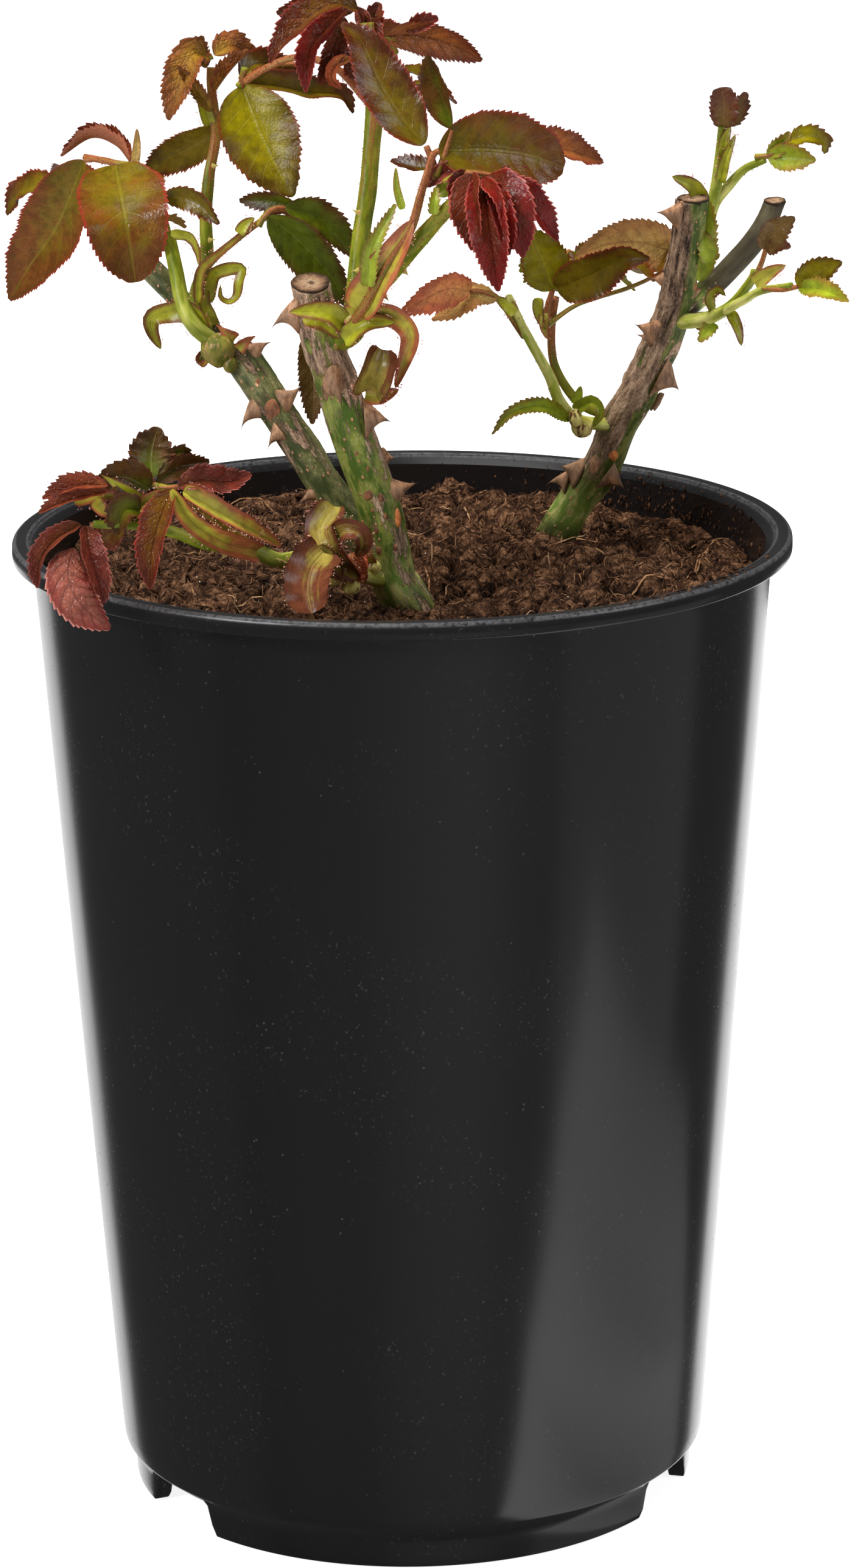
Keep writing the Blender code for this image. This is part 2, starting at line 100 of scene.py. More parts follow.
# %% [markdown]
# ## Unevenness
# Bark, peat and leaves are uneven at several sizes at once. A lattice of numbers that look random
# but always come out the same, blended smoothly, gives one size of unevenness. Adding finer and
# weaker copies gives the rest.


# %% Smooth noise on whole arrays
def noise(points, seed=0):
    """From -1 to 1. Each corner of a unit lattice has a hashed number, and a point blends its
    eight corners with weights 3t^2 - 2t^3."""
    cell = np.floor(points).astype(np.int64)
    part = points - cell
    part = part * part * (3.0 - 2.0 * part)
    total = np.zeros(points.shape[:-1])
    for corner in np.ndindex(2, 2, 2):
        key = (cell + corner) @ np.array([73856093, 19349663, 83492791]) + seed * 6971
        key = (key ^ (key >> 13)) * 1274126177
        key = (key ^ (key >> 16)) & 65535
        weight = np.prod(np.where(np.array(corner) == 1, part, 1.0 - part), axis=-1)
        total += weight * (key / 32767.5 - 1.0)
    return total


def rough(points, size, seed=0, octaves=4, gain=0.5):
    """Noise at `size` and at each half of it, every one `gain` times as strong as the last."""
    total = np.zeros(points.shape[:-1])
    for octave in range(octaves):
        total += gain ** octave * noise(points * 2.0 ** octave / size, seed + octave)
    return total


def ease(value, low, high):
    """0 below `low`, 1 above `high`, and 3t^2 - 2t^3 between."""
    part = np.clip((value - low) / (high - low), 0.0, 1.0)
    return part * part * (3.0 - 2.0 * part)


# %% [markdown]
# ## Meshes from arrays
# A mesh is a list of points and a list of faces. Blender takes both as flat arrays. Everything
# else that a material needs, such as how far along a leaf a point lies, goes along as a UV map
# with a value for each corner of each face, or as an attribute.

# %% A mesh piece from arrays
SPRAY_MAP = "OFBake"


def add_object(name, data):
    """A new object in the scene."""
    made = bpy.data.objects.new(name, data)
    bpy.context.scene.collection.objects.link(made)
    return made


def put(name, places, faces, material, slot, replaces=(), maps=None, marks=None, crease=60.0):
    """A piece from places in mm and faces of 4 corners, of which a triangle repeats the last.
    `maps` holds a pair for each corner, and `marks` a number or a vector for each point."""
    flat = faces[:, 3] == faces[:, 2]
    sizes = np.where(flat, 3, 4)
    keep = np.ones(faces.shape, bool)
    keep[flat, 3] = False
    corners = faces[keep]
    mesh = bpy.data.meshes.new(name)
    mesh.vertices.add(len(places))
    mesh.vertices.foreach_set("co", (np.asarray(places) * MM).astype(np.float32).ravel())
    mesh.loops.add(len(corners))
    mesh.loops.foreach_set("vertex_index", corners.astype(np.int32))
    mesh.polygons.add(len(faces))
    starts = np.concatenate([[0], np.cumsum(sizes)[:-1]])
    mesh.polygons.foreach_set("loop_start", starts.astype(np.int32))
    for title, pairs in (maps or {}).items():
        layer = mesh.uv_layers.new(name=title)
        layer.data.foreach_set("uv", pairs[keep].astype(np.float32).ravel())
    for title, values in (marks or {}).items():
        values = np.asarray(values, np.float32)
        kind = "FLOAT" if values.ndim == 1 else "FLOAT_VECTOR"
        layer = mesh.attributes.new(title, kind, "POINT")
        layer.data.foreach_set("value" if kind == "FLOAT" else "vector", values.ravel())
    mesh.update(calc_edges=True)
    mesh.validate()
    mesh.shade_smooth()
    if crease:
        mesh.set_sharp_from_angle(angle=math.radians(crease))
    mesh.materials.append(material)
    piece = add_object(name, mesh)
    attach(piece, "root")
    if replaces:
        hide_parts(*replaces)
    print(f"{name}: {int(np.sum(sizes - 2))} triangles")
    return piece


def grid(rows, columns, closed=False):
    """Faces of a grid of points, each (row, column) with the next column and the next row. A
    closed grid joins its last column to its first."""
    first = np.arange(columns if closed else columns - 1)
    after = (first + 1) % columns
    row = np.arange(rows - 1)[:, None] * columns
    return np.stack([row + first, row + after, row + columns + after, row + columns + first],
                    axis=-1).reshape(-1, 4)


def fan(centre, ring, outward=True):
    """Triangles from a centre point to each pair of neighbours in a ring."""
    after = np.roll(ring, -1)
    tip = np.full(len(ring), centre)
    sides = (ring, after) if outward else (after, ring)
    return np.stack([tip, *sides, sides[1]], axis=-1)


def capped(rows, columns):
    """Faces of a stack of closed rings that runs to one point at each end. The points of the
    rings come first, then the first end's point and the last end's."""
    count = rows * columns
    return np.vstack([grid(rows, columns, True), fan(count, np.arange(columns), False),
                      fan(count + 1, np.arange(count - columns, count))])


def copied(shape, count):
    """Faces of `count` copies of a small shape, whose points follow each other."""
    starts = np.arange(count) * (shape.max() + 1)
    return (shape[None] + starts[:, None, None]).reshape(-1, 4)


def circle(columns):
    """Angles at even steps right round."""
    return np.linspace(0.0, math.tau, columns, endpoint=False)


class Heap:
    """Points and faces of many small shapes, gathered into one piece."""

    def __init__(self):
        self.places, self.faces, self.count = [], [], 0
        self.marks, self.maps = {}, {}

    def add(self, places, faces, marks=None, maps=None):
        """Put a shape on the heap: its faces count on from the points already there."""
        places = np.asarray(places, float).reshape(-1, 3)
        self.places.append(places)
        self.faces.append(np.asarray(faces) + self.count)
        self.count += len(places)
        for title, values in (marks or {}).items():
            values = np.asarray(values, float)
            full = np.broadcast_to(values, (len(places),)) if values.ndim < 2 else values
            self.marks.setdefault(title, []).append(full)
        for title, pairs in (maps or {}).items():
            self.maps.setdefault(title, []).append(pairs)

    def put(self, name, material, slot, replaces=(), crease=60.0):
        """Make the heap one piece."""
        marks = {title: np.concatenate(parts) for title, parts in self.marks.items()}
        maps = {title: np.concatenate(parts) for title, parts in self.maps.items()}
        return put(name, np.concatenate(self.places), np.concatenate(self.faces), material, slot,
                   replaces, maps, marks, crease)


# %% [markdown]
# ## Paths
# A cane, a stalk and the midrib of a leaf are all a path through a few points. A Catmull-Rom
# curve passes through every point, so the points can be read off where the plant passes.


# %% Smooth paths and the frame that travels along them
def path_through(points, count):
    """`count` places at even distances along the Catmull-Rom curve through the points: each span
    is the cubic whose slope at a point is half the step between its two neighbours."""
    points = np.asarray(points, float)
    if len(points) == 2:
        share = np.linspace(0.0, 1.0, count)[:, None]
        return points[0] * (1.0 - share) + points[1] * share
    held = np.vstack([2 * points[0] - points[1], points, 2 * points[-1] - points[-2]])
    place = np.linspace(0.0, len(points) - 1.0, 24 * len(points))
    span = np.minimum(place.astype(int), len(points) - 2)
    t = (place - span)[:, None]
    a, b, c, d = (held[span + shift] for shift in range(4))
    fine = 0.5 * (2 * b + (c - a) * t + (2 * a - 5 * b + 4 * c - d) * t ** 2
                  + (3 * b - a - 3 * c + d) * t ** 3)
    walked = np.concatenate([[0.0], np.cumsum(np.linalg.norm(np.diff(fine, axis=0), axis=1))])
    even = np.linspace(0.0, walked[-1], count)
    return np.stack([np.interp(even, walked, fine[:, axis]) for axis in range(3)], axis=-1)


def unit(vectors):
    """Vectors of length 1."""
    return vectors / np.maximum(np.linalg.norm(vectors, axis=-1, keepdims=True), 1e-9)


def travel(path, face):
    """Three directions at each point of a path: along it, out towards `face`, and the side,
    which is along x out."""
    along = unit(np.gradient(path, axis=0))
    face = np.broadcast_to(np.asarray(face, float), path.shape)
    out = unit(face - np.sum(face * along, axis=-1, keepdims=True) * along)
    return along, out, np.cross(along, out)


def length_of(path):
    """Distance walked from the start to each point of a path."""
    return np.concatenate([[0.0], np.cumsum(np.linalg.norm(np.diff(path, axis=0), axis=1))])


# %% [markdown]
# ## Materials as sums
# A shader tree is arithmetic on values that vary over the surface. Here a value is wrapped in a
# small class, so that writing `1 - mask` or `a * b` adds the Math node that does it.


# %% Shader arithmetic
class Wire:
    """A number that varies over the surface."""

    def __init__(self, shader, socket):
        self.shader, self.socket = shader, socket

    def math(self, operation, *values):
        """A Math node of that operation on the values, in their order."""
        return self.shader.node("ShaderNodeMath", {"operation": operation},
                                dict(enumerate(values)))

    def __add__(self, other):
        return self.math("ADD", self, other)

    def __sub__(self, other):
        return self.math("SUBTRACT", self, other)

    def __rsub__(self, other):
        return self.math("SUBTRACT", other, self)

    def __mul__(self, other):
        return self.math("MULTIPLY", self, other)

    __radd__, __rmul__ = __add__, __mul__

    def between(self, low, high):
        """0 at `low`, 1 at `high`, eased between. `low` may be the larger."""
        ranges = {"From Min": low, "From Max": high}
        return self.shader.node("ShaderNodeMapRange", {"interpolation_type": "SMOOTHSTEP"},
                                {"Value": self, **ranges})


def paint(red, green, blue):
    """A colour given as a screen shows it, made linear."""
    levels = np.array([red, green, blue]) / 255.0
    linear = np.where(levels < 0.04045, levels / 12.92, ((levels + 0.055) / 1.055) ** 2.4)
    return (*linear.tolist(), 1.0)


class Finish:
    """One material: a Principled shader and the nodes that feed it."""

    def __init__(self, name):
        self.material = bpy.data.materials.new(name)
        self.material.use_nodes = True
        self.tree = self.material.node_tree
        self.surface = self.tree.nodes["Principled BSDF"]

    def node(self, kind, settings=None, values=None, output=0):
        """Any node: its settings come first, then the values or links of its sockets."""
        made = self.tree.nodes.new(kind)
        for title, setting in (settings or {}).items():
            setattr(made, title, setting)
        for socket, value in (values or {}).items():
            self.join(value, made.inputs[socket])
        return Wire(self, made.outputs[output])

    def join(self, value, socket):
        """Link a wire to a socket, or set the socket to a plain value. A colour of three numbers
        is as a screen shows it, from 0 to 255."""
        if isinstance(value, Wire):
            self.tree.links.new(value.socket, socket)
        elif socket.type == "RGBA" and len(value) == 3:
            socket.default_value = paint(*value)
        else:
            socket.default_value = value

    def ramp(self, share, *stops):
        """A colour that passes through others, each at its own place on the way."""
        wire = self.node("ShaderNodeValToRGB", None, {0: share})
        held = wire.socket.node.color_ramp.elements
        for index, (place, colour) in enumerate(stops):
            stop = held[index] if index < 2 else held.new(place)
            stop.position, stop.color = place, paint(*colour)
        return wire

    def mix(self, share, first, second):
        """A colour between two colours."""
        return self.node("ShaderNodeMix", {"data_type": "RGBA"}, {0: share, 6: first, 7: second},
                         2)

    def shaded(self, colour, share, shade):
        """A colour multiplied by another, by a share."""
        return self.node("ShaderNodeMix", {"data_type": "RGBA", "blend_type": "MULTIPLY"},
                         {0: share, 6: colour, 7: shade}, 2)

    def stretch(self, vector, scale):
        """A vector scaled along each axis."""
        return self.node("ShaderNodeMapping", None, {"Vector": vector, "Scale": scale})

    def scaled(self, vector, scale):
        """What a pattern is laid on: with a scale for each axis, the vector is stretched first."""
        return (self.stretch(vector, scale), 1.0) if isinstance(scale, tuple) else (vector, scale)

    def noise(self, vector, scale, detail=3.0, gain=0.5):
        """Cloudy values about 0.5."""
        vector, scale = self.scaled(vector, scale)
        return self.node("ShaderNodeTexNoise", None, {"Vector": vector, "Scale": scale,
                                                      "Detail": detail, "Roughness": gain})

    def cells(self, vector, scale, feature="F1"):
        """Distance to the nearest of many scattered points, or to the walls between them."""
        vector, scale = self.scaled(vector, scale)
        return self.node("ShaderNodeTexVoronoi", {"feature": feature},
                         {"Vector": vector, "Scale": scale}, "Distance")

    def place(self):
        """Object coordinates, in metres."""
        return self.node("ShaderNodeTexCoord", None, None, "Object")

    def map(self, title):
        """A UV map of the piece."""
        return self.node("ShaderNodeUVMap", {"uv_map": title})

    def mark(self, title, output="Fac"):
        """An attribute of the piece."""
        return self.node("ShaderNodeAttribute", {"attribute_name": title}, None, output)

    def parts(self, vector):
        """The first two numbers of a vector."""
        split = self.node("ShaderNodeSeparateXYZ", None, {0: vector})
        node = split.socket.node
        return Wire(self, node.outputs[0]), Wire(self, node.outputs[1])

    def bump(self, height, depth, strength=1.0):
        """A normal from heights from 0 to 1 that stand for `depth` mm."""
        return self.node("ShaderNodeBump", None, {"Height": height, "Distance": depth * MM,
                                                  "Strength": strength})

    def done(self, **sockets):
        """Feed the Principled shader, by socket names with _ for a space."""
        for title, value in sockets.items():
            self.join(value, self.surface.inputs[title.replace("_", " ").title().replace(
                "Ior", "IOR")])
        return self.material


print("shader helpers ready")

# %% [markdown]
# ## The pot
# The container is moulded in one go: a tapering wall, a flange round the mouth and a ring below
# the floor that three shallow arches divide into feet. It is a turned shape, so its outline is
# carried round the axis. Only the ring isn't round: its lower edge is lifted at each arch.

# %% The pot's sizes and outline
RIM_TOP = 268.0
RIM_RADIUS = 105.0
MOUTH_RADIUS = 100.3
RIM_THICK = 4.7
WALL_LOW = 80.5
WALL_HIGH = 99.9
WALL_THICK = 1.8
FOOT_TOP = 10.0
FOOT_RADIUS = 78.0
FOOT_THICK = 4.5
LEDGE = 12.5
FLOOR_TOP = 12.2
ARCH_TURN = -25.5           # degrees, seen from above
ARCH_HALF_LOW = 11.6        # degrees each way at the ground
ARCH_HALF_HIGH = 8.6        # degrees each way where the arch is highest
ARCHES = 3
POT_COLUMNS = 288
DRAINS = 6
DRAIN_RADIUS = 4.5
DRAIN_CIRCLE = 46.0


def wall_radius(height):
    """Outside of the wall: a straight taper."""
    return WALL_LOW + (WALL_HIGH - WALL_LOW) * height / RIM_TOP


def bend(centre, radius, start, end, count=5):
    """Points of an arc, angles in degrees from the outward direction."""
    angle = np.radians(np.linspace(start, end, count))
    return [(centre[0] + radius * math.cos(a), centre[1] + radius * math.sin(a)) for a in angle]


def straight(start, end, count):
    """Points at even distances on a line, without its two ends."""
    share = np.linspace(0.0, 1.0, count + 2)[1:-1, None]
    line = np.array(start) * (1.0 - share) + np.array(end) * share
    return [tuple(point) for point in line]


def pot_outline():
    """Radius and height, from under the floor, round the feet, up the outside, over the rim and
    down the inside to the floor."""
    under_rim = RIM_TOP - RIM_THICK
    inside = FOOT_RADIUS - FOOT_THICK
    low, high = (wall_radius(LEDGE), LEDGE), (wall_radius(under_rim), under_rim)
    lip = (MOUTH_RADIUS, RIM_TOP - 0.8)
    flare = (wall_radius(RIM_TOP - 2.8) - WALL_THICK, RIM_TOP - 2.8)
    corner = (wall_radius(FLOOR_TOP) - WALL_THICK, FLOOR_TOP)
    return np.array(
        [(2.0, FOOT_TOP)] + straight((2.0, FOOT_TOP), (inside, FOOT_TOP), 12)
        + [(inside, FOOT_TOP)] + straight((inside, FOOT_TOP), (inside, 0.0), 3)
        + bend((inside + 0.5, 0.5), 0.5, 180, 270, 3)
        + bend((FOOT_RADIUS - 0.5, 0.5), 0.5, 270, 360, 4)
        + straight((FOOT_RADIUS, 0.5), (FOOT_RADIUS + 0.5, LEDGE - 1.4), 4)
        + bend((low[0] - 1.4, LEDGE - 0.1), 1.3, 270, 356, 5)
        + straight(low, high, 72)
        + bend((high[0] + 0.6, under_rim - 0.6), 0.6, 180, 90, 4)
        + bend((RIM_RADIUS - 0.7, under_rim + 0.7), 0.7, 270, 360, 4)
        + [(RIM_RADIUS + 0.05, under_rim + 2.0)]
        + bend((RIM_RADIUS - 1.5, RIM_TOP - 1.5), 1.5, 0, 78, 6)
        + straight((RIM_RADIUS - 1.2, RIM_TOP - 0.02), (MOUTH_RADIUS + 1.2, RIM_TOP - 0.1), 2)
        + bend((MOUTH_RADIUS + 0.9, RIM_TOP - 1.0), 0.9, 90, 180, 6)
        + [lip, flare] + straight(flare, corner, 40)
        + bend((corner[0] - 1.5, FLOOR_TOP + 1.5), 1.5, 0, -90, 4)
        + straight((corner[0] - 1.5, FLOOR_TOP), (2.0, FLOOR_TOP), 12) + [(2.0, FLOOR_TOP)])


def turned(outline, columns):
    """Places and faces of a turned solid: the outline runs from the pole below to the pole
    above, and each pole is closed by one point."""
    angle = circle(columns)
    radius, height = outline[:, 0, None], outline[:, 1, None]
    body = np.stack([radius * np.cos(angle), radius * np.sin(angle),
                     height + 0.0 * angle], axis=-1)
    poles = [[0, 0, outline[0, 1]], [0, 0, outline[-1, 1]]]
    return np.vstack([body.reshape(-1, 3), poles]), capped(len(outline), columns)


def make_pot_places():
    """The turned outline, its ring lifted at the arches, and the wall a little wavy."""
    places, faces = turned(pot_outline(), POT_COLUMNS)
    radius = np.hypot(places[:, 0], places[:, 1])
    bearing = np.degrees(np.arctan2(places[:, 1], places[:, 0]))
    step = 360.0 / ARCHES
    off = np.abs((bearing - ARCH_TURN + step / 2.0) % step - step / 2.0)
    lift = (FOOT_TOP - 0.8) * (1.0 - ease(off, ARCH_HALF_HIGH, ARCH_HALF_LOW))
    ring = (radius > FOOT_RADIUS - FOOT_THICK - 0.1) & (places[:, 2] < LEDGE - 1.2)
    top = np.where(radius > FOOT_RADIUS - 1.0, LEDGE - 1.2, FOOT_TOP)
    height = places[:, 2]
    places[:, 2] = np.where(ring, np.maximum(height, lift + height * (1 - lift / top)), height)
    wall = ease(height, 14.0, 60.0) * (1.0 - ease(height, 235.0, 262.0))
    wavy = 0.16 * noise(places / np.array([26.0, 26.0, 70.0]), 3) * wall
    places[:, :2] *= (1.0 + wavy / np.maximum(radius, 1.0))[:, None]
    return places, faces


# %% [markdown]
# Black moulded plastic has almost no colour of its own. What shows is what it mirrors, so the
# finish is mostly roughness: smooth on the wall, dull and finely scratched on the flat rim where
# pots rub in the stack, with dried splashes and dust. A lighter grey along the rim's two rounded
# edges is a painted highlight.

# %% Black plastic
def black_plastic():
    """Near-black colour, with dust where a fine and a coarse noise are both high, and a painted
    highlight: lighter grey along the two rounded edges of the rim, broken up by a noise."""
    make = Finish("black_plastic")
    place = make.place()
    broad = make.noise(place, 26.0, 3.0)
    fine = make.noise(place, 900.0, 4.0, 0.65)
    dust = fine.between(0.60, 0.74) * broad.between(0.42, 0.62)
    spots = make.cells(place, 420.0).between(0.17, 0.08) * make.noise(place, 90.0).between(
        0.55, 0.68)
    below = make.node("ShaderNodeSeparateXYZ", None, {0: place}, 2) * -1.0 + RIM_TOP * MM
    rim = below.between(0.0025, 0.0008)
    away = make.node("ShaderNodeVectorMath", {"operation": "LENGTH"},
                     {0: make.stretch(place, (1.0, 1.0, 0.0))}, 1)
    outer = away.between(RIM_RADIUS * MM - 0.0014, RIM_RADIUS * MM - 0.0008)
    inner = away.between(MOUTH_RADIUS * MM + 0.0011, MOUTH_RADIUS * MM + 0.0005)
    # Painted highlight: a lighter grey along the outer and inner rounded edges of the rim, broken
    # up by a noise.
    edge_highlight = below.between(0.0014, 0.0007) * (outer + inner) * fine.between(0.30, 0.60)
    colour = make.mix(dust * 0.30 + rim * 0.03 + edge_highlight * 0.55, (23, 22, 23), (96, 95, 97))
    colour = make.mix(spots * 0.22, colour, (104, 102, 100))
    rough_at = 0.16 + broad * 0.08 + dust * 0.25 + rim * 0.10 + spots * 0.2
    return make.done(base_color=colour, roughness=rough_at, normal=make.bump(
        fine + spots, 0.02, 0.25), specular_ior_level=0.42)


def drill(piece):
    """Cut the drain holes through the floor: six upright cylinders, taken away exactly."""
    heap = Heap()
    for index in range(DRAINS):
        bearing = index * math.tau / DRAINS
        outline = np.array([(DRAIN_RADIUS, FOOT_TOP - 3.0), (DRAIN_RADIUS, FLOOR_TOP + 3.0)])
        places, faces = turned(outline, 20)
        centre = np.array([math.cos(bearing), math.sin(bearing), 0.0]) * DRAIN_CIRCLE
        heap.add(places + centre, faces)
    mesh = bpy.data.meshes.new("drains")
    places = np.concatenate(heap.places) * MM
    faces = [tuple(dict.fromkeys(face)) for face in np.concatenate(heap.faces).tolist()]
    mesh.from_pydata(places.tolist(), [], faces)
    cutter = add_object("drains", mesh)
    step = piece.modifiers.new("drains", "BOOLEAN")
    step.operation, step.object, step.solver = "DIFFERENCE", cutter, "EXACT"
    bpy.context.view_layer.update()
    graph = bpy.context.evaluated_depsgraph_get()
    piece.data = bpy.data.meshes.new_from_object(piece.evaluated_get(graph))
    piece.modifiers.clear()
    bpy.data.objects.remove(cutter, do_unlink=True)
    print("drilled:", len(piece.data.polygons), "faces")


POT = put("pot_shell", *make_pot_places(), black_plastic(), "black_plastic", ["pot"], crease=35.0)
drill(POT)

# %% [markdown]
# ## The peat
# Peat is a felt of brown fibres in clods, with gaps between them. Its surface is a height
# over each point of a round plate: mounds and hollows, then clods that meet in sharp creases, then
# smaller ones. The creases are darkened with painted shade. Fibres, crumbs and roots lie on it as
# pieces of their own, each kind in one plain colour.

# %% The surface of the peat
SOIL_TOP = 255.6
SOIL_RINGS = 168
SOIL_COLUMNS = 540
SOIL_EDGE = wall_radius(SOIL_TOP) - WALL_THICK - 0.3


def on_level(seen, height):
    """Where the ray through (across, down) meets a level plane."""
    near, far = at((*seen, -100.0)), at((*seen, 100.0))
    share = (height - near[2]) / (far[2] - near[2])
    return near + (far - near) * share


# Mounds and hollows: where they are seen, height in mm, and half width in mm.
MOUNDS = {
    "clump_at_wall": ((1192, 822), 7.0, 8.0), "bank_right": ((1130, 850), 2.5, 12.0),
    "ridge_back": ((745, 815), 3.5, 11.0), "rise_left": ((440, 800), 3.0, 13.0),
    "far_left": ((330, 850), 1.5, 12.0), "by_cane": ((905, 840), 2.5, 9.0),
    "middle": ((900, 905), 1.5, 13.0), "front_right": ((1010, 950), 1.2, 12.0),
    "hollow_cane": ((735, 975), -4.5, 8.0), "hollow_front": ((850, 1000), -2.0, 10.0),
    "hollow_left": ((420, 868), -4.0, 9.0), "hollow_side": ((1215, 880), -3.5, 7.0),
    "hollow_low": ((560, 985), -3.0, 8.0), "hollow_back": ((640, 800), -2.5, 7.0),
}
MOUND_PLACES = np.array([on_level(seen, SOIL_TOP)[:2] for seen, _, _ in MOUNDS.values()])
MOUND_RISE = np.array([rise for _, rise, _ in MOUNDS.values()])
MOUND_WIDE = np.array([wide for _, _, wide in MOUNDS.values()])


def clod_height(x, y):
    """Clods: |noise| is 0 along its creases and rises steeply beside them. 14 mm clods carry
    5 mm ones, and those a fine unevenness."""
    flat = np.stack([x, y, np.zeros_like(x)], axis=-1)
    warp = flat + 3.5 * np.stack([noise(flat / 7.0, 11), noise(flat / 7.0, 12),
                                  np.zeros_like(x)], axis=-1)
    clods = 6.0 * (np.abs(noise(warp / 10.0, 22)) ** 0.6 - 0.5)
    clods += 2.8 * (np.abs(noise(warp / 3.8, 23)) ** 0.7 - 0.4)
    return clods + 0.8 * (1.0 - 2.0 * np.abs(noise(warp / 1.9, 24))) + 0.3 * noise(warp / 0.9, 25)


def soil_height(x, y):
    """Mounds are bells exp(-(d / w)^2) on the level. The peat is flatter along the wall."""
    flat = np.stack([x, y, np.zeros_like(x)], axis=-1)
    gap = np.stack([x, y], axis=-1)[..., None, :] - MOUND_PLACES
    bells = MOUND_RISE * np.exp(-np.sum(gap ** 2, axis=-1) / MOUND_WIDE ** 2)
    height = bells.sum(axis=-1) + 1.6 * noise(flat / 31.0, 21)
    calm = 1.0 - 0.45 * ease(np.hypot(x, y), SOIL_EDGE - 12.0, SOIL_EDGE)
    return SOIL_TOP + height + clod_height(x, y) * calm


def make_soil():
    """A turned plug whose top rings follow the height, and the painted shade of each point, which
    grows the lower it lies in a crease.
    """
    floor = FLOOR_TOP + 0.4
    inner = wall_radius(floor) - WALL_THICK - 2.0
    top = np.linspace(SOIL_EDGE, 0.5, SOIL_RINGS)
    outline = np.array([(2.0, floor), (inner, floor), (inner + 1.6, floor + 1.8),
                        (SOIL_EDGE - 0.4, SOIL_TOP - 9.0)]
                       + [(radius, SOIL_TOP) for radius in top])
    places, faces = turned(outline, SOIL_COLUMNS)
    upper = places[:, 2] > SOIL_TOP - 1.0
    x, y = places[upper, 0], places[upper, 1]
    places[upper, 2] = soil_height(x, y)
    # Painted shade for the creases: 0 on the clods, up to 1 low in a crease.
    crease_shade = np.zeros(len(places))
    crease_shade[upper] = ease(clod_height(x, y), 0.4, -2.2)
    return places, faces, crease_shade


def peat():
    """Brown, streaked by noises stretched either way, with painted shade that darkens the creases
    between the clods.
    """
    make = Finish("peat")
    place = make.place()
    streak = make.noise(place, (500.0, 1600.0, 900.0), 5.0, 0.7)
    cross = make.noise(place, (1600.0, 450.0, 900.0), 5.0, 0.7)
    lumps = make.noise(place, 230.0, 4.0, 0.6)
    # Painted shade: darker the lower a point lies in a crease.
    shade = streak * 0.36 + cross * 0.30 + lumps * 0.42 - make.mark("crease_shade") * 0.17
    colour = make.ramp(shade, (0.40, (12, 7, 5)), (0.47, (38, 24, 16)), (0.54, (76, 51, 35)),
                       (0.64, (138, 101, 73)))
    return make.done(base_color=colour, roughness=0.92, normal=make.bump(shade, 1.6, 1.0),
                     specular_ior_level=0.2)


soil_places, soil_faces, soil_crease_shade = make_soil()
put("peat_body", soil_places, soil_faces, peat(), "peat", ["soil"], marks={"crease_shade": soil_crease_shade},
    crease=0)

# %% Fibres, crumbs and roots
CHANCE = np.random.default_rng(41)


def threads(paths, radii):
    """Three-sided fibres: at each inner point of a path a small triangle across it, and one
    point at either end. `paths` is (fibres, points, 3)."""
    count, steps, _ = paths.shape
    along = unit(np.gradient(paths, axis=1))
    up = np.array([0.02, 0.03, 1.0])
    side = unit(np.cross(along, up))
    out = np.cross(along, side)
    angle = np.arange(3) * math.tau / 3.0
    ring = side[:, :, None] * np.cos(angle)[:, None] + out[:, :, None] * np.sin(angle)[:, None]
    taper = np.sin(np.linspace(0.12, math.pi - 0.12, steps))[:, None, None] ** 0.5
    rings = paths[:, 1:-1, None] + (ring * radii[:, None, None, None] * taper)[:, 1:-1]
    inner = steps - 2
    places = np.concatenate([rings.reshape(count, -1, 3), paths[:, :1], paths[:, -1:]], axis=1)
    return places.reshape(-1, 3), copied(capped(inner, 3), count)


def strewn(count, chance, share):
    """Places (x, y) anywhere within a share of the peat's radius."""
    away = SOIL_EDGE * np.sqrt(chance.random(count)) * share
    bearing = chance.random(count) * math.tau
    return np.stack([away * np.cos(bearing), away * np.sin(bearing)], axis=-1)


def lying_fibres(count, shortest, longest, radius, lift, chance):
    """Fibres strewn over the peat: each starts anywhere, runs in its own direction with a slow
    turn, and follows the height, its middle or end raised a little."""
    start = strewn(count, chance, 0.985)
    length = shortest + (longest - shortest) * chance.random(count) ** 2
    heading = chance.random(count) * math.tau
    turn = chance.normal(0.0, 0.9, count)
    step = np.linspace(0.0, 1.0, 5)
    angle = heading[:, None] + turn[:, None] * step
    walk = np.cumsum(np.stack([np.cos(angle), np.sin(angle)], axis=-1), axis=1) / 5.0
    flat = start[:, None] + walk * length[:, None, None]
    reach = np.linalg.norm(flat, axis=-1, keepdims=True)
    flat *= np.minimum(1.0, (SOIL_EDGE - 0.6) / reach)
    rise = lift * chance.random((count, 1)) * (0.25 + step * chance.random((count, 1)) * 1.5)
    height = soil_height(flat[..., 0], flat[..., 1]) + 0.05 + rise
    paths = np.concatenate([flat, height[..., None]], axis=-1)
    return threads(paths, radius * (0.5 + 0.9 * chance.random(count)))


def plain(name, colour, other, scale=300.0, roughness=0.9):
    """A plain colour that drifts to a second one over some millimetres."""
    make = Finish(name)
    share = make.noise(make.place(), scale, 2.0).between(0.35, 0.65)
    return make.done(base_color=make.mix(share, colour, other), roughness=roughness,
                     specular_ior_level=0.25)


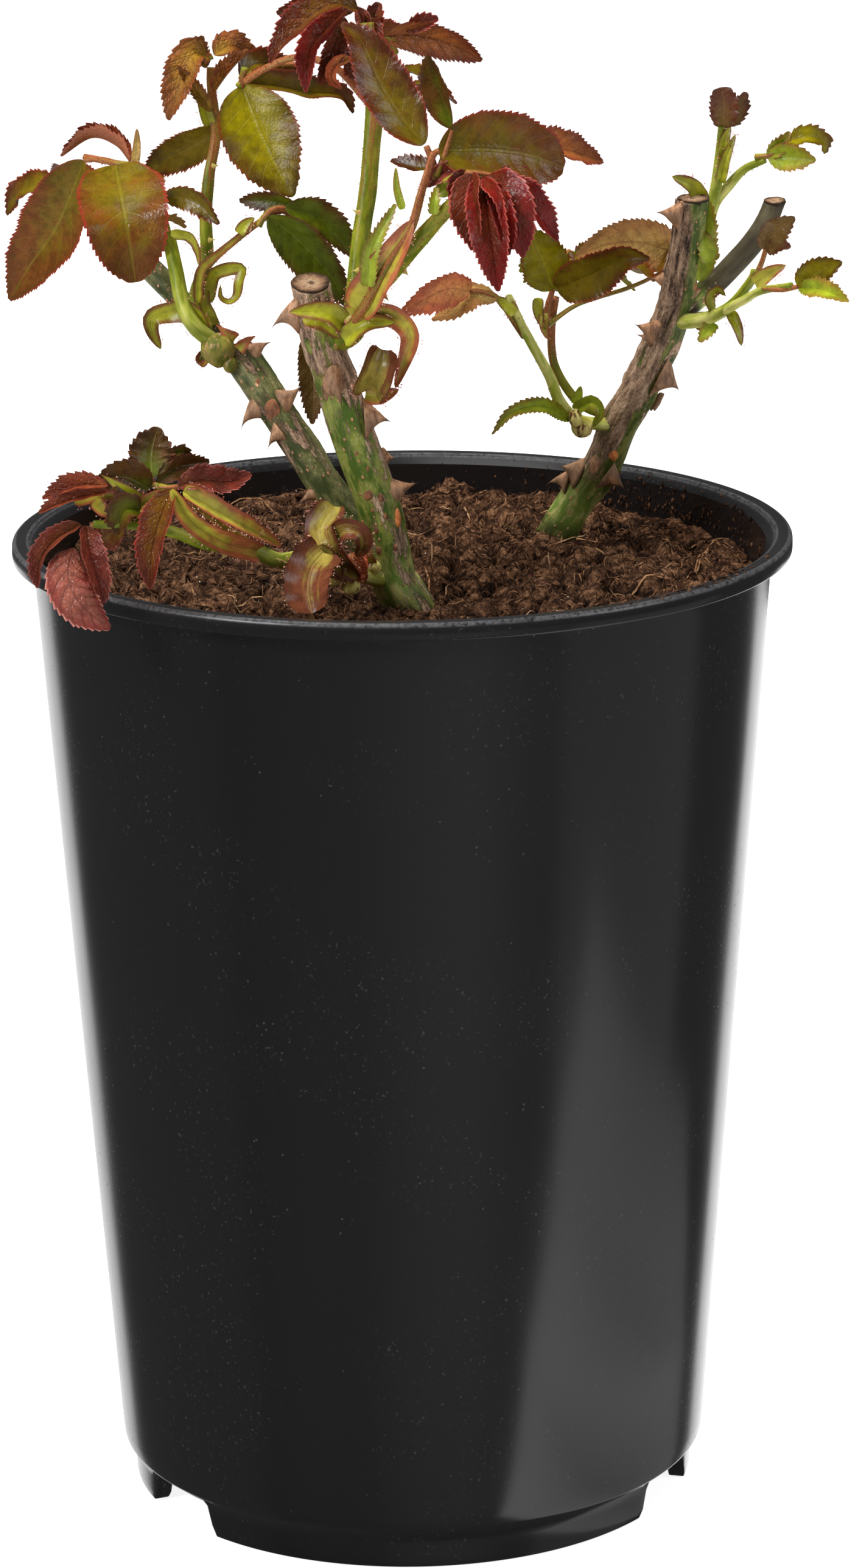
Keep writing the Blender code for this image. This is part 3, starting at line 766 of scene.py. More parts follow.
for kind, count, size, thick, lift, colours in (
        ("dark", 4200, (2.0, 9.0), 0.20, 1.1, ((34, 20, 12), (58, 36, 23))),
        ("brown", 4200, (2.0, 8.0), 0.17, 1.2, ((66, 44, 30), (98, 68, 47))),
        ("tan", 750, (2.0, 9.0), 0.15, 1.4, ((112, 80, 55), (138, 102, 72))),
        ("straw", 110, (5.0, 20.0), 0.20, 3.0, ((136, 103, 73), (166, 132, 96)))):
    fibres = lying_fibres(count, *size, thick, lift, CHANCE)
    put(f"peat_fibres_{kind}", *fibres, plain(f"fibre_{kind}", *colours), "peat")

GOLDEN = (1.0 + math.sqrt(5.0)) / 2.0
BALL = unit(np.array([(a, b * GOLDEN, 0.0) for a in (-1, 1) for b in (-1, 1)]
                     + [(0.0, a, b * GOLDEN) for a in (-1, 1) for b in (-1, 1)]
                     + [(b * GOLDEN, 0.0, a) for a in (-1, 1) for b in (-1, 1)]))


def ball_faces():
    """The 20 triangles of the ball: every three of its points that are nearest neighbours."""
    near = np.linalg.norm(BALL[:, None] - BALL[None], axis=-1) < 1.2
    faces = [(a, b, c) for a in range(12) for b in range(a + 1, 12) for c in range(b + 1, 12)
             if near[a, b] and near[b, c] and near[a, c]]
    turned_out = [(a, b, c) if np.linalg.det(BALL[[a, b, c]]) > 0 else (a, c, b)
                  for a, b, c in faces]
    return np.array([(a, b, c, c) for a, b, c in turned_out])


BALL_FACES = ball_faces()


def crumbs(places, sizes, chance, flatness=(1.0, 0.8, 0.55)):
    """A lopsided ball of 20 faces at each place: its points are pushed in and out at random,
    and it is flattened and turned about the upright."""
    count = len(places)
    lump = BALL[None] * (1.0 + 0.35 * chance.normal(0.0, 1.0, (count, 12, 1)).clip(-1.2, 1.2))
    lump = lump * np.array(flatness) * sizes[:, None, None]
    angle = chance.random(count) * math.tau
    c, s = np.cos(angle)[:, None], np.sin(angle)[:, None]
    tilt = chance.normal(0.0, 0.4, (count, 1))
    x, y, z = lump[..., 0], lump[..., 1], lump[..., 2]
    lump = np.stack([x * c - y * s, x * s + y * c, z + x * tilt], axis=-1)
    return (places[:, None] + lump).reshape(-1, 3), copied(BALL_FACES, count)


def strewn_places(count, chance, sink=0.2):
    """Places anywhere on the peat, a little sunk."""
    x, y = strewn(count, chance, 0.98).T
    return np.stack([x, y, soil_height(x, y) - sink], axis=-1)


WALL_LITTER = (42.0, 16.0)      # degrees: the middle of the crumbs on the wall, their spread
RIM_LITTER = (-40.0, 9.0)


def on_wall(count, chance):
    """Places on the inside of the wall at the right, where peat was flung: denser low down."""
    bearing = np.radians(chance.normal(*WALL_LITTER, count).clip(5.0, 90.0))
    height = SOIL_TOP + 2.0 + 10.0 * chance.random(count) ** 1.8
    radius = wall_radius(height) - WALL_THICK - 0.1
    return np.stack([radius * np.cos(bearing), radius * np.sin(bearing), height], axis=-1)


def on_rim(count, chance):
    """Places on the flat rim at the front right."""
    bearing = np.radians(chance.normal(*RIM_LITTER, count))
    radius = chance.uniform(MOUTH_RADIUS + 0.4, RIM_RADIUS - 0.8, count)
    return np.stack([radius * np.cos(bearing), radius * np.sin(bearing),
                     np.full(count, RIM_TOP + 0.05)], axis=-1)


PEAT_DARK = plain("peat_dark", (34, 20, 12), (58, 36, 23))
PEAT_BROWN = plain("peat_brown", (70, 47, 32), (98, 68, 47))
WALL_CRUMBS = 170
RIM_CRUMBS = 26
for kind, count, finish in (("dark", 1500, PEAT_DARK), ("brown", 1500, PEAT_BROWN)):
    sizes = 0.35 + 1.5 * CHANCE.random(count) ** 4
    heap = Heap()
    heap.add(*crumbs(strewn_places(count, CHANCE), sizes, CHANCE))
    heap.add(*crumbs(on_wall(WALL_CRUMBS, CHANCE), 0.18 + 0.5 * CHANCE.random(WALL_CRUMBS) ** 2,
                     CHANCE, (0.7, 0.7, 1.3)))
    heap.add(*crumbs(on_rim(RIM_CRUMBS, CHANCE), 0.2 + 0.5 * CHANCE.random(RIM_CRUMBS), CHANCE,
                     (1.4, 0.7, 0.4)))
    heap.put(f"peat_crumbs_{kind}", finish, "peat", crease=30.0)

# The pale grains are bits of lime, and the small wet ones glint.
GRAINS = 150
put("peat_grains", *crumbs(strewn_places(GRAINS, CHANCE, -0.2),
                           0.12 + 0.16 * CHANCE.random(GRAINS), CHANCE),
    plain("lime", (214, 200, 180), (236, 226, 210), roughness=0.4), "peat", crease=0)

# Long roots that lie where they are seen: the points, and the radius in mm.
ROOTS = (
    (((840, 910), (890, 893), (947, 888), (990, 892), (1036, 885)), 0.34),
    (((1110, 898), (1160, 886), (1205, 890), (1250, 893)), 0.30),
    (((1085, 900), (1112, 918), (1140, 930)), 0.34),
    (((930, 915), (990, 926), (1030, 938), (1060, 950)), 0.29),
    (((1130, 960), (1152, 920), (1183, 885)), 0.36),
    (((1120, 962), (1150, 930), (1172, 890)), 0.35),
    (((690, 925), (705, 955), (700, 990)), 0.34),
    (((300, 960), (322, 985), (318, 1000)), 0.32),
    (((352, 842), (400, 835), (455, 846)), 0.32),
    (((370, 870), (420, 862), (470, 868)), 0.29),
    (((1000, 985), (1060, 972), (1110, 968)), 0.34),
)
ROOT_STEPS = 14
ROOT_LIFT = 0.9
roots = Heap()
for seen, radius in ROOTS:
    flat = path_through([on_level(spot, SOIL_TOP) for spot in seen], ROOT_STEPS)
    arch = np.sin(np.linspace(0.0, math.pi, ROOT_STEPS)) * ROOT_LIFT
    flat[:, 2] = soil_height(flat[:, 0], flat[:, 1]) + 0.1 + arch
    flat[:, 2] = np.convolve(np.pad(flat[:, 2], 1, "edge"), [0.25, 0.5, 0.25], "valid")
    roots.add(*threads(flat[None], np.array([radius])))
roots.put("peat_roots", plain("root", (96, 64, 42), (150, 112, 78), 500.0), "peat",
          crease=0)

# %% [markdown]
# ## Canes
# A cane is a tube along a path, uneven as bark is. The unevenness is worked out in the cane's own
# straightened space: round the cane in mm and along it in mm, so that fissures run lengthways
# however the cane leans. The same straightened place goes to the material as an attribute.

# %% A tube along a path
FRONT = np.array([0.0, -1.0, 0.0])
LIMBS = {}              # name: path and radii of each limb, for what grows on it
CUT_REACH = 7.0         # mm of a tube that its slanting end takes up


def tube(path, radii, columns, relief, cut=None):
    """Places, faces and straightened places of a tube. Round the path, the angle runs from the
    front to the right. `relief` gives mm of bulge from the straightened place, the share of the
    length and the angle. `cut` is the direction that the sawn end faces."""
    along, out, side = travel(path, FRONT)
    rows = len(path)
    angle = circle(columns)
    ring = out[:, None] * np.cos(angle)[:, None] + side[:, None] * np.sin(angle)[:, None]
    walked = length_of(path)
    radius = np.broadcast_to(radii[:, None], (rows, columns))
    share = np.broadcast_to((walked / walked[-1])[:, None], (rows, columns))
    straightened = np.stack([radius * np.cos(angle), radius * np.sin(angle),
                             np.broadcast_to(walked[:, None], (rows, columns))], axis=-1)
    radius = radius + relief(straightened, share, angle)
    places = path[:, None] + ring * radius[..., None]
    if cut is not None:
        slope = -np.sum(ring[-1] * cut, axis=-1) / float(along[-1] @ cut)
        near_end = ease(walked[-1] - walked, CUT_REACH, 0.0)[:, None]
        places += along[:, None] * (near_end * slope * radius)[..., None]
    ends = np.array([places[0].mean(axis=0), places[-1].mean(axis=0)])
    places = np.vstack([places.reshape(-1, 3), ends])
    straightened = np.vstack([straightened.reshape(-1, 3), [[0, 0, 0], [0, 0, walked[-1]]]])
    share = np.append(share.ravel(), [0.0, 1.0])
    return places, capped(rows, columns), straightened, share


def bark_relief(depth, seed):
    """Fissured bark: ridges 2 mm apart and ten times as long, fine roughness, and slow
    swellings."""
    def relief(place, share, angle):
        slow = 0.42 * noise(place / np.array([5.0, 5.0, 9.0]), seed)
        ridge = 1.0 - 2.0 * np.abs(noise(place / np.array([1.1, 1.1, 9.0]), seed + 1))
        fine = rough(place, np.array([0.7, 0.7, 2.4]), seed + 2, 2)
        return slow + depth(share, angle) * (0.34 * ridge + 0.20 * fine) + 0.03 * fine
    return relief


# name: points in mm, radius at the foot and at the end, how woody at the foot and at the end,
# the share of the length where wood sets in, how green the right side stays below and above, how
# grey the green is, the sawn end's way
CANES = {
    "cane_middle": ([(6, -42, 244), (2, -42, 256), (-3, -42, 266), (-6, -41, 284),
                     (-13, -40, 304), (-16, -38, 315), (-20, -38, 327), (-23, -36, 342)],
                    6.3, 5.1, -0.66, 0.34, 0.68, (-0.36, -0.36), 0.14, (-0.05, -0.30, 0.95)),
    "cane_left": ([(9, -32, 244), (2, -32, 257), (-8, -30, 270), (-17, -28, 282),
                   (-25, -25, 294), (-31, -22, 303), (-39, -17, 315), (-43, -14, 320)],
                  5.0, 4.6, -0.98, -0.36, 0.62, (-0.34, -0.34), 0.78, None),
    "cane_left_stub": ([(-45, -15, 319), (-49, -11, 324), (-57, 1, 330), (-68, 14, 339),
                        (-71, 19, 343)],
                       3.3, 2.9, -0.9, -0.5, 0.5, (0.0, 0.0), 0.85, (-0.5, 0.4, 0.76)),
    "cane_right": ([(35, 34, 244), (41, 33, 256), (48, 30, 269), (54, 28, 278), (60, 25, 292),
                    (68, 21, 308), (74, 17, 324), (76, 15, 336), (79, 12, 355)],
                   5.5, 4.4, -0.98, 0.75, 0.40, (0.75, 1.35), 0.45, (0.0, -0.12, 0.99)),
    "cane_right_stub": ([(73, 17, 321), (76, 17, 324), (83, 20, 329), (89, 23, 334),
                         (98, 28, 343), (102, 31, 351)], 3.5, 2.8, -0.5, -0.75, 0.5, (0.0, 0.0),
                        1.0, (0.05, -0.15, 0.98)),
}
CANE_STEP = 0.42        # mm between rows
CANE_COLUMNS = 72


def make_cane(name, finish):
    """One cane: its tube, and how woody each point is."""
    points, foot, end, wood_low, wood_high, wood_from, green_side, slate, cut = CANES[name]
    rough_path = path_through(points, 50)
    rows = int(length_of(rough_path)[-1] / CANE_STEP)
    path = path_through(points, rows)
    seed = 50 + 7 * list(CANES).index(name)

    def woodiness(share, angle):
        rise = ease(share, wood_from - 0.25, wood_from + 0.15)
        right = np.maximum(np.sin(angle), 0.0)
        stays = np.interp(share, (0.55, 0.85), green_side) * ease(right, -0.05, 0.45)
        return wood_low + (wood_high - wood_low) * rise - stays

    radii = foot + (end - foot) * np.linspace(0.0, 1.0, rows)
    smooth = 0.35 if name.endswith("stub") else 1.0
    relief = bark_relief(lambda share, angle: smooth * ease(woodiness(share, angle), -0.6, 0.5),
                         seed)
    way = None if cut is None else np.array(cut)
    places, faces, straightened, share = tube(path, radii, CANE_COLUMNS, relief, way)
    angle = np.arctan2(straightened[:, 1], straightened[:, 0])
    blotch = rough(straightened, np.array([4.0, 4.0, 11.0]), seed + 5, 3, 0.55)
    wood = woodiness(share, angle) + 0.75 * blotch
    LIMBS[name] = (path, radii)
    return put(name, places, faces, finish, "cane_bark", [name],
               marks={"straight": straightened, "wood": wood, "high": share,
                      "slate": np.full(len(places), slate)}, crease=0)


def cane_bark():
    """Green skin, greyer where `slate` is high, with darker clouds and tan pores, under
    grey-brown fissured bark where the `wood` attribute, broken up by a streaky noise, is high."""
    make = Finish("cane_bark")
    straight = make.mark("straight", "Vector")
    wood = make.mark("wood")
    slate = make.mark("slate")
    high = make.mark("high").between(0.55, 0.85)
    low = make.mark("high").between(0.31, 0.23) * make.mark("high").between(0.15, 0.20)
    # Darker and browner towards the foot, just above the peat.
    darker_at_foot = make.mark("high").between(0.21, 0.13)
    streak = make.noise(straight, (0.7, 0.7, 0.13), 5.0, 0.62)
    fine = make.noise(straight, (3.0, 3.0, 1.1), 4.0, 0.65)
    cloud = make.noise(straight, (0.35, 0.35, 0.14), 4.0, 0.6)
    mask = (wood + (streak - 0.5) * 1.8 + (fine - 0.5) * 1.2).between(-0.12, 0.20)
    bark = make.ramp(streak * 0.6 + fine * 0.4 - high * slate * 0.13,
                     (0.37, (48, 35, 28)), (0.45, (118, 93, 75)), (0.53, (156, 128, 104)),
                     (0.63, (202, 172, 146)))
    fresh = make.mix(cloud.between(0.38, 0.62), (70, 96, 24), (132, 140, 52))
    grey = make.mix(cloud.between(0.36, 0.64), (56, 58, 34), (94, 88, 62))
    green = make.mix(slate, fresh, grey)
    green = make.mix(slate.between(0.85, 1.0), green, make.mix(
        cloud.between(0.3, 0.7), (58, 50, 38), (84, 76, 56)))
    green = make.mix(low * 0.85, green, make.mix(cloud.between(0.4, 0.6), (112, 138, 56),
                                                 (186, 182, 112)))
    green = make.mix(darker_at_foot * 0.7, green, make.mix(cloud.between(0.4, 0.6), (54, 44, 26),
                                                   (86, 92, 36)))
    chalk = fine.between(0.50, 0.68) * cloud.between(0.42, 0.58) * slate.between(1.0, 0.85)
    green = make.mix(chalk * 0.75, green, (166, 160, 116))
    specks = make.cells(straight, (0.62, 0.62, 0.42))
    chosen = make.noise(straight, (0.5, 0.5, 0.4), 1.0).between(0.48, 0.53)
    pore = specks.between(0.27, 0.16) * chosen * slate.between(1.0, 0.85)
    green = make.mix(pore, green, make.mix(fine.between(0.4, 0.6), (170, 112, 78),
                                           (216, 166, 128)))
    dots = make.cells(straight, (2.2, 2.2, 1.6)).between(0.20, 0.08)
    green = make.mix(dots * 0.65, green, (24, 36, 14))
    colour = make.mix(mask, green, bark)
    height = streak * mask * 0.7 + fine * (0.2 + mask * 0.2) + pore * 0.6
    return make.done(base_color=colour, roughness=0.42 + mask * 0.36,
                     normal=make.bump(height, 0.55, 0.9), specular_ior_level=0.3)


BARK = cane_bark()
for cane_name in CANES:
    make_cane(cane_name, BARK)

# %% [markdown]
# ## Sawn ends
# Each pruned cane ends in a flat cut: pale wood, a soft brownish middle with open pores, and a
# thin dark ring of bark. A disc a few tenths of a millimetre thick sits on the tube's end.

# %% Cut faces
CUT_RINGS = 9
CUT_COLUMNS = 48
CUT_THICK = 0.45


def cut_face(heap, name):
    """A disc in the plane of the cut: rings from the middle out, a little dished, then down over
    the edge. `ring` is 0 in the middle and 1 at the edge."""
    path, radii = LIMBS[name]
    cut = unit(np.array(CANES[name][-1]))
    along, out, side = travel(path[-3:], FRONT)
    angle = circle(CUT_COLUMNS)
    around = out[-1] * np.cos(angle)[:, None] + side[-1] * np.sin(angle)[:, None]
    around -= along[-1] * (around @ cut / float(along[-1] @ cut))[:, None]
    share = np.linspace(0.06, 1.0, CUT_RINGS)
    wobble = 1.0 + 0.03 * np.sin(3.0 * angle + 1.0) + 0.02 * np.sin(7.0 * angle)
    radius = radii[-1] * 0.97 * wobble
    top = path[-1] + around * (share[:, None] * radius)[..., None]
    grain = 0.26 * rough(top, 1.1, 77, 4) - 0.14 * (1.0 - share[:, None] ** 2)
    top = top + cut * (CUT_THICK + grain * (1.0 - share[:, None] ** 6))[..., None]
    low = path[-1] + around * (0.96 * radius)[:, None] - cut * 0.6
    body = np.concatenate([low[None], top[::-1]])
    places = np.vstack([body.reshape(-1, 3), [low.mean(axis=0), top[0].mean(axis=0)]])
    place_in_ring = np.concatenate([[1.0], share[::-1]])
    mark = np.append(np.repeat(place_in_ring, CUT_COLUMNS), [1.0, 0.0])
    heap.add(places, capped(len(body), CUT_COLUMNS), {"ring": mark})


def sawn_wood():
    """Colour by distance from the middle, with pores and fine cracks."""
    make = Finish("sawn_wood")
    ring, place = make.mark("ring"), make.place()
    cloud = make.noise(place, 800.0, 5.0, 0.7)
    broad = make.noise(place, 240.0, 3.0)
    shade = ring + (cloud - 0.5) * 0.55 + (broad - 0.5) * 0.4
    colour = make.ramp(shade, (0.05, (84, 64, 50)), (0.30, (158, 130, 102)),
                       (0.62, (132, 102, 78)), (0.80, (92, 68, 50)), (0.95, (48, 36, 28)))
    pores = make.cells(place, 1500.0).between(0.30, 0.14) * make.noise(place, 500.0).between(
        0.42, 0.54)
    colour = make.mix(pores * 0.8, colour, (66, 48, 36))
    return make.done(base_color=colour, roughness=0.85,
                     normal=make.bump(cloud - pores, 0.4, 0.9), specular_ior_level=0.2)


ends = Heap()
for cane_name, cane in CANES.items():
    if cane[-1] is not None:
        cut_face(ends, cane_name)
ends.put("sawn_ends", sawn_wood(), "cane_bark", crease=40.0)

# %% [markdown]
# ## Thorns, scars and lumps
# A thorn is a flat cone: long and narrow where it sits on the cane, and drawn out along a curve to
# a sharp point. Each is placed by the two ends of its foot and by its point, as they are seen.


# %% Thorns
def on_limb(name, across, down):
    """The place on the near side of a limb that is seen at (across, down), and the way out. The
    sideways distance d from the centre line puts it sqrt(r^2 - d^2) in front of the line."""
    path, radii = LIMBS[name]
    seen = seen_from(path)
    index = int(np.argmin(np.linalg.norm(seen - np.array([across, down]), axis=-1)))
    centre, radius = path[index], radii[index]
    level = at((across, down, centre[1]))
    sideways = level - centre
    beside = min(np.linalg.norm(sideways[[0, 2]]), radius * 0.999)
    front = centre[1] - math.sqrt(radius ** 2 - beside ** 2)
    place = at((across, down, front))
    return place, unit(place - centre)


THORN_HOOK = 0.75       # mm straight out before a thorn leans to its point


def spike_on(heap, foot, end, tip, breadth, rows=16, columns=16, sink=1.2):
    """A thorn with its foot between two places and its point at a third: rings shrink along a
    quadratic curve, the long way by (1-t)^2.3 and the narrow way by (1-t)^1.5, so its sides are
    hollow. `breadth` is the narrow radius at the foot."""
    foot, end, tip = (np.asarray(p, float) for p in (foot, end, tip))
    middle = (foot + end) / 2.0
    half = np.linalg.norm(end - foot) / 2.0 * 1.3
    length = unit(end - foot)
    outward = tip - middle
    outward = outward - (outward @ length) * length
    start = middle - unit(outward) * sink
    lean = start + outward * THORN_HOOK + (tip - start) * 0.12
    t = np.linspace(0.0, 1.0, rows)[:, None] ** 0.85
    line = start * (1 - t) ** 2 + 2 * lean * t * (1 - t) + tip * t ** 2
    along = unit(np.gradient(line, axis=0))
    wide = unit(length - np.sum(along * length, axis=-1, keepdims=True) * along)
    narrow = np.cross(along, wide)
    angle = circle(columns)
    ring = (wide[:, None] * np.cos(angle)[:, None] * (half * (1 - t) ** 2.3 + 0.07)[:, None]
            + narrow[:, None] * np.sin(angle)[:, None] * (
                breadth * (1 - t) ** 1.5 + 0.05)[:, None])
    places = (line[:, None] + ring).reshape(-1, 3)
    places += 0.06 * rough(places, 1.3, 91, 2)[:, None] * np.array([1.0, 1.0, 0.5])
    heap.add(np.vstack([places, [start, tip]]), capped(rows, columns),
             {"point": np.append(np.repeat(t[:, 0], columns), [0.0, 1.0])})


def spike_seen(heap, limb, upper, lower, tip, nearer, breadth=None, **how):
    """A thorn on a limb, by where the two ends of its foot and its point are seen. The point is
    `nearer` mm in front of the foot."""
    ends = [on_limb(limb, *end)[0] for end in (upper, lower)]
    depth = (ends[0][1] + ends[1][1]) / 2.0 - nearer
    if breadth is None:
        breadth = 0.30 * np.linalg.norm(ends[0] - ends[1]) + 0.5
    spike_on(heap, *ends, at((*tip, depth)), breadth, **how)


# Each thorn: its cane, the upper and lower end of its foot and its point, (across, down) as
# seen, and how many mm nearer than its foot the point is.
THORNS = (
    ("cane_middle", (484, 492), (480, 542), (445, 541), 1.0),
    ("cane_middle", (546, 606), (556, 664), (562, 668), 2.6),
    ("cane_middle", (600, 658), (609, 714), (643, 694), 0.0),
    ("cane_middle", (635, 738), (640, 764), (650, 753), 1.0),
    ("cane_middle", (645, 786), (655, 822), (686, 793), 0.5),
    ("cane_middle", (578, 640), (586, 662), (590, 661), 1.5),
    ("cane_left", (411, 563), (428, 586), (447, 562), 1.0),
    ("cane_left", (461, 640), (477, 672), (496, 632), 0.5),
    ("cane_left", (412, 655), (430, 688), (396, 707), 1.0),
    ("cane_left", (447, 700), (464, 726), (440, 739), 1.5),
    ("cane_left", (508, 800), (520, 822), (489, 829), 1.0),
    ("cane_right", (958, 752), (934, 795), (918, 767), 0.5),
    ("cane_right", (937, 772), (922, 806), (896, 798), -2.0),
    ("cane_right", (1012, 764), (989, 800), (1026, 805), 0.0),
    ("cane_right", (1101, 592), (1076, 648), (1116, 642), 0.0),
    ("cane_right", (1080, 524), (1062, 562), (1042, 533), 0.5),
    ("cane_right", (1072, 545), (1064, 566), (1045, 549), 1.5),
    ("cane_right", (1084, 448), (1082, 470), (1066, 458), 0.0),
    ("cane_right", (1116, 332), (1106, 372), (1077, 349), 0.5),
    ("cane_right", (1142, 470), (1146, 488), (1156, 470), 1.5),
)


def thorn_skin():
    """Pale brown, greyer at the foot and dark at the point, with faint lengthwise streaks."""
    make = Finish("thorn")
    point, place = make.mark("point"), make.place()
    streak = make.noise(place, (700.0, 700.0, 250.0), 5.0, 0.7)
    blotch = make.noise(place, 260.0, 2.0).between(0.35, 0.65)
    colour = make.mix(streak.between(0.36, 0.66), (100, 66, 44), (182, 136, 100))
    colour = make.mix(blotch * 0.5, colour, (140, 112, 88))
    colour = make.mix(point.between(0.55, 0.95), colour, (70, 42, 34))
    return make.done(base_color=colour, roughness=0.55, normal=make.bump(streak, 0.2, 0.5),
                     specular_ior_level=0.4)


thorns = Heap()
for thorn in THORNS:
    spike_seen(thorns, *thorn)
THORN_SKIN = thorn_skin()
thorns.put("thorns", THORN_SKIN, "cane_bark", crease=0)


# %% Scars and lumps
def lump(heap, centre, radii, upright=(0.0, 0.0, 1.0), face=FRONT, rows=14, columns=24,
         uneven=0.12, seed=5):
    """A closed uneven ball with its own three radii: across, out and upright."""
    upright = unit(np.asarray(upright, float))
    out = np.asarray(face, float)
    out = unit(out - (out @ upright) * upright)
    side = np.cross(upright, out)
    height = np.cos(np.linspace(math.pi - 0.14, 0.14, rows))[:, None]
    angle = circle(columns)
    flat = np.sqrt(1.0 - height ** 2)
    local = np.stack([flat * np.sin(angle), flat * np.cos(angle), height + 0.0 * angle], -1)
    local = local.reshape(-1, 3)
    local = np.vstack([local, [[0, 0, -1.0], [0, 0, 1.0]]])
    local = local * (1.0 + uneven * rough(local, 0.9, seed, 3))[:, None]
    axes = np.stack([side * radii[0], out * radii[1], upright * radii[2]])
    heap.add(np.asarray(centre) + local @ axes, capped(rows, columns),
             {"point": np.zeros(len(local))})


# Each scar: its cane, where it is seen, and its half width and half height in mm.
SCARS = (
    ("cane_middle", (585, 745), (0.9, 1.2)), ("cane_left", (448, 674), (2.1, 2.7)),
    ("cane_middle", (604, 812), (1.5, 1.8)), ("cane_middle", (626, 818), (0.7, 1.1)),
    ("cane_middle", (618, 871), (0.7, 1.0)),
    ("cane_right", (1142, 467), (1.4, 2.0)), ("cane_left", (424, 630), (0.8, 1.2)),
    ("cane_middle", (604, 770), (0.6, 0.9)), ("cane_middle", (590, 790), (0.5, 0.8)),
    ("cane_middle", (622, 905), (0.8, 1.1)), ("cane_middle", (650, 900), (0.6, 0.9)),
    ("cane_middle", (612, 838), (0.5, 0.7)), ("cane_middle", (634, 848), (0.5, 0.8)),
)
# The same for two young scars, which stand prouder and are bright.
YOUNG_SCARS = (("cane_middle", (654, 852), (0.9, 2.6)), ("cane_right", (1008, 745), (1.4, 2.2)))
# Flakes of torn bark on the right cane: where they are seen, radii in mm across, out and upright,
# the upright, how uneven, and the seed.
FLAKES = (((977, 763), (1.5, 0.8, 3.0), (0.25, 0.0, 1.0), 0.12, 9),
          ((1080, 660), (0.9, 0.9, 3.2), (0.5, 0.0, 1.0), 0.3, 10))
scars, young_scars, flakes = Heap(), Heap(), Heap()
for heap, table, proud in ((scars, SCARS, 0.45), (young_scars, YOUNG_SCARS, 0.75)):
    for cane_name, spot, (wide, high) in table:
        centre, out = on_limb(cane_name, *spot)
        lump(heap, centre - out * 0.15, (wide, proud, high), face=out, seed=8)
for spot, radii, upright, uneven, seed in FLAKES:
    centre, out = on_limb("cane_right", *spot)
    lump(flakes, centre, radii, upright, out, uneven=uneven, seed=seed)
scars.put("scars", plain("scar", (150, 98, 66), (104, 68, 50), 700.0, 0.7),
          "cane_bark", crease=0)
young_scars.put("scars_young", plain("scar_young", (214, 132, 72), (166, 98, 56),
                                     700.0, 0.6), "cane_bark", crease=0)
flakes.put("bark_flakes", THORN_SKIN, "cane_bark", crease=0)

# %% [markdown]
# ## Shoots and stalks
# Young shoots are smooth tubes with a faint rib or two, green below and reddish above, and set
# with bristles. A stalk carries leaflets. Both are made like the canes, with gentler relief.

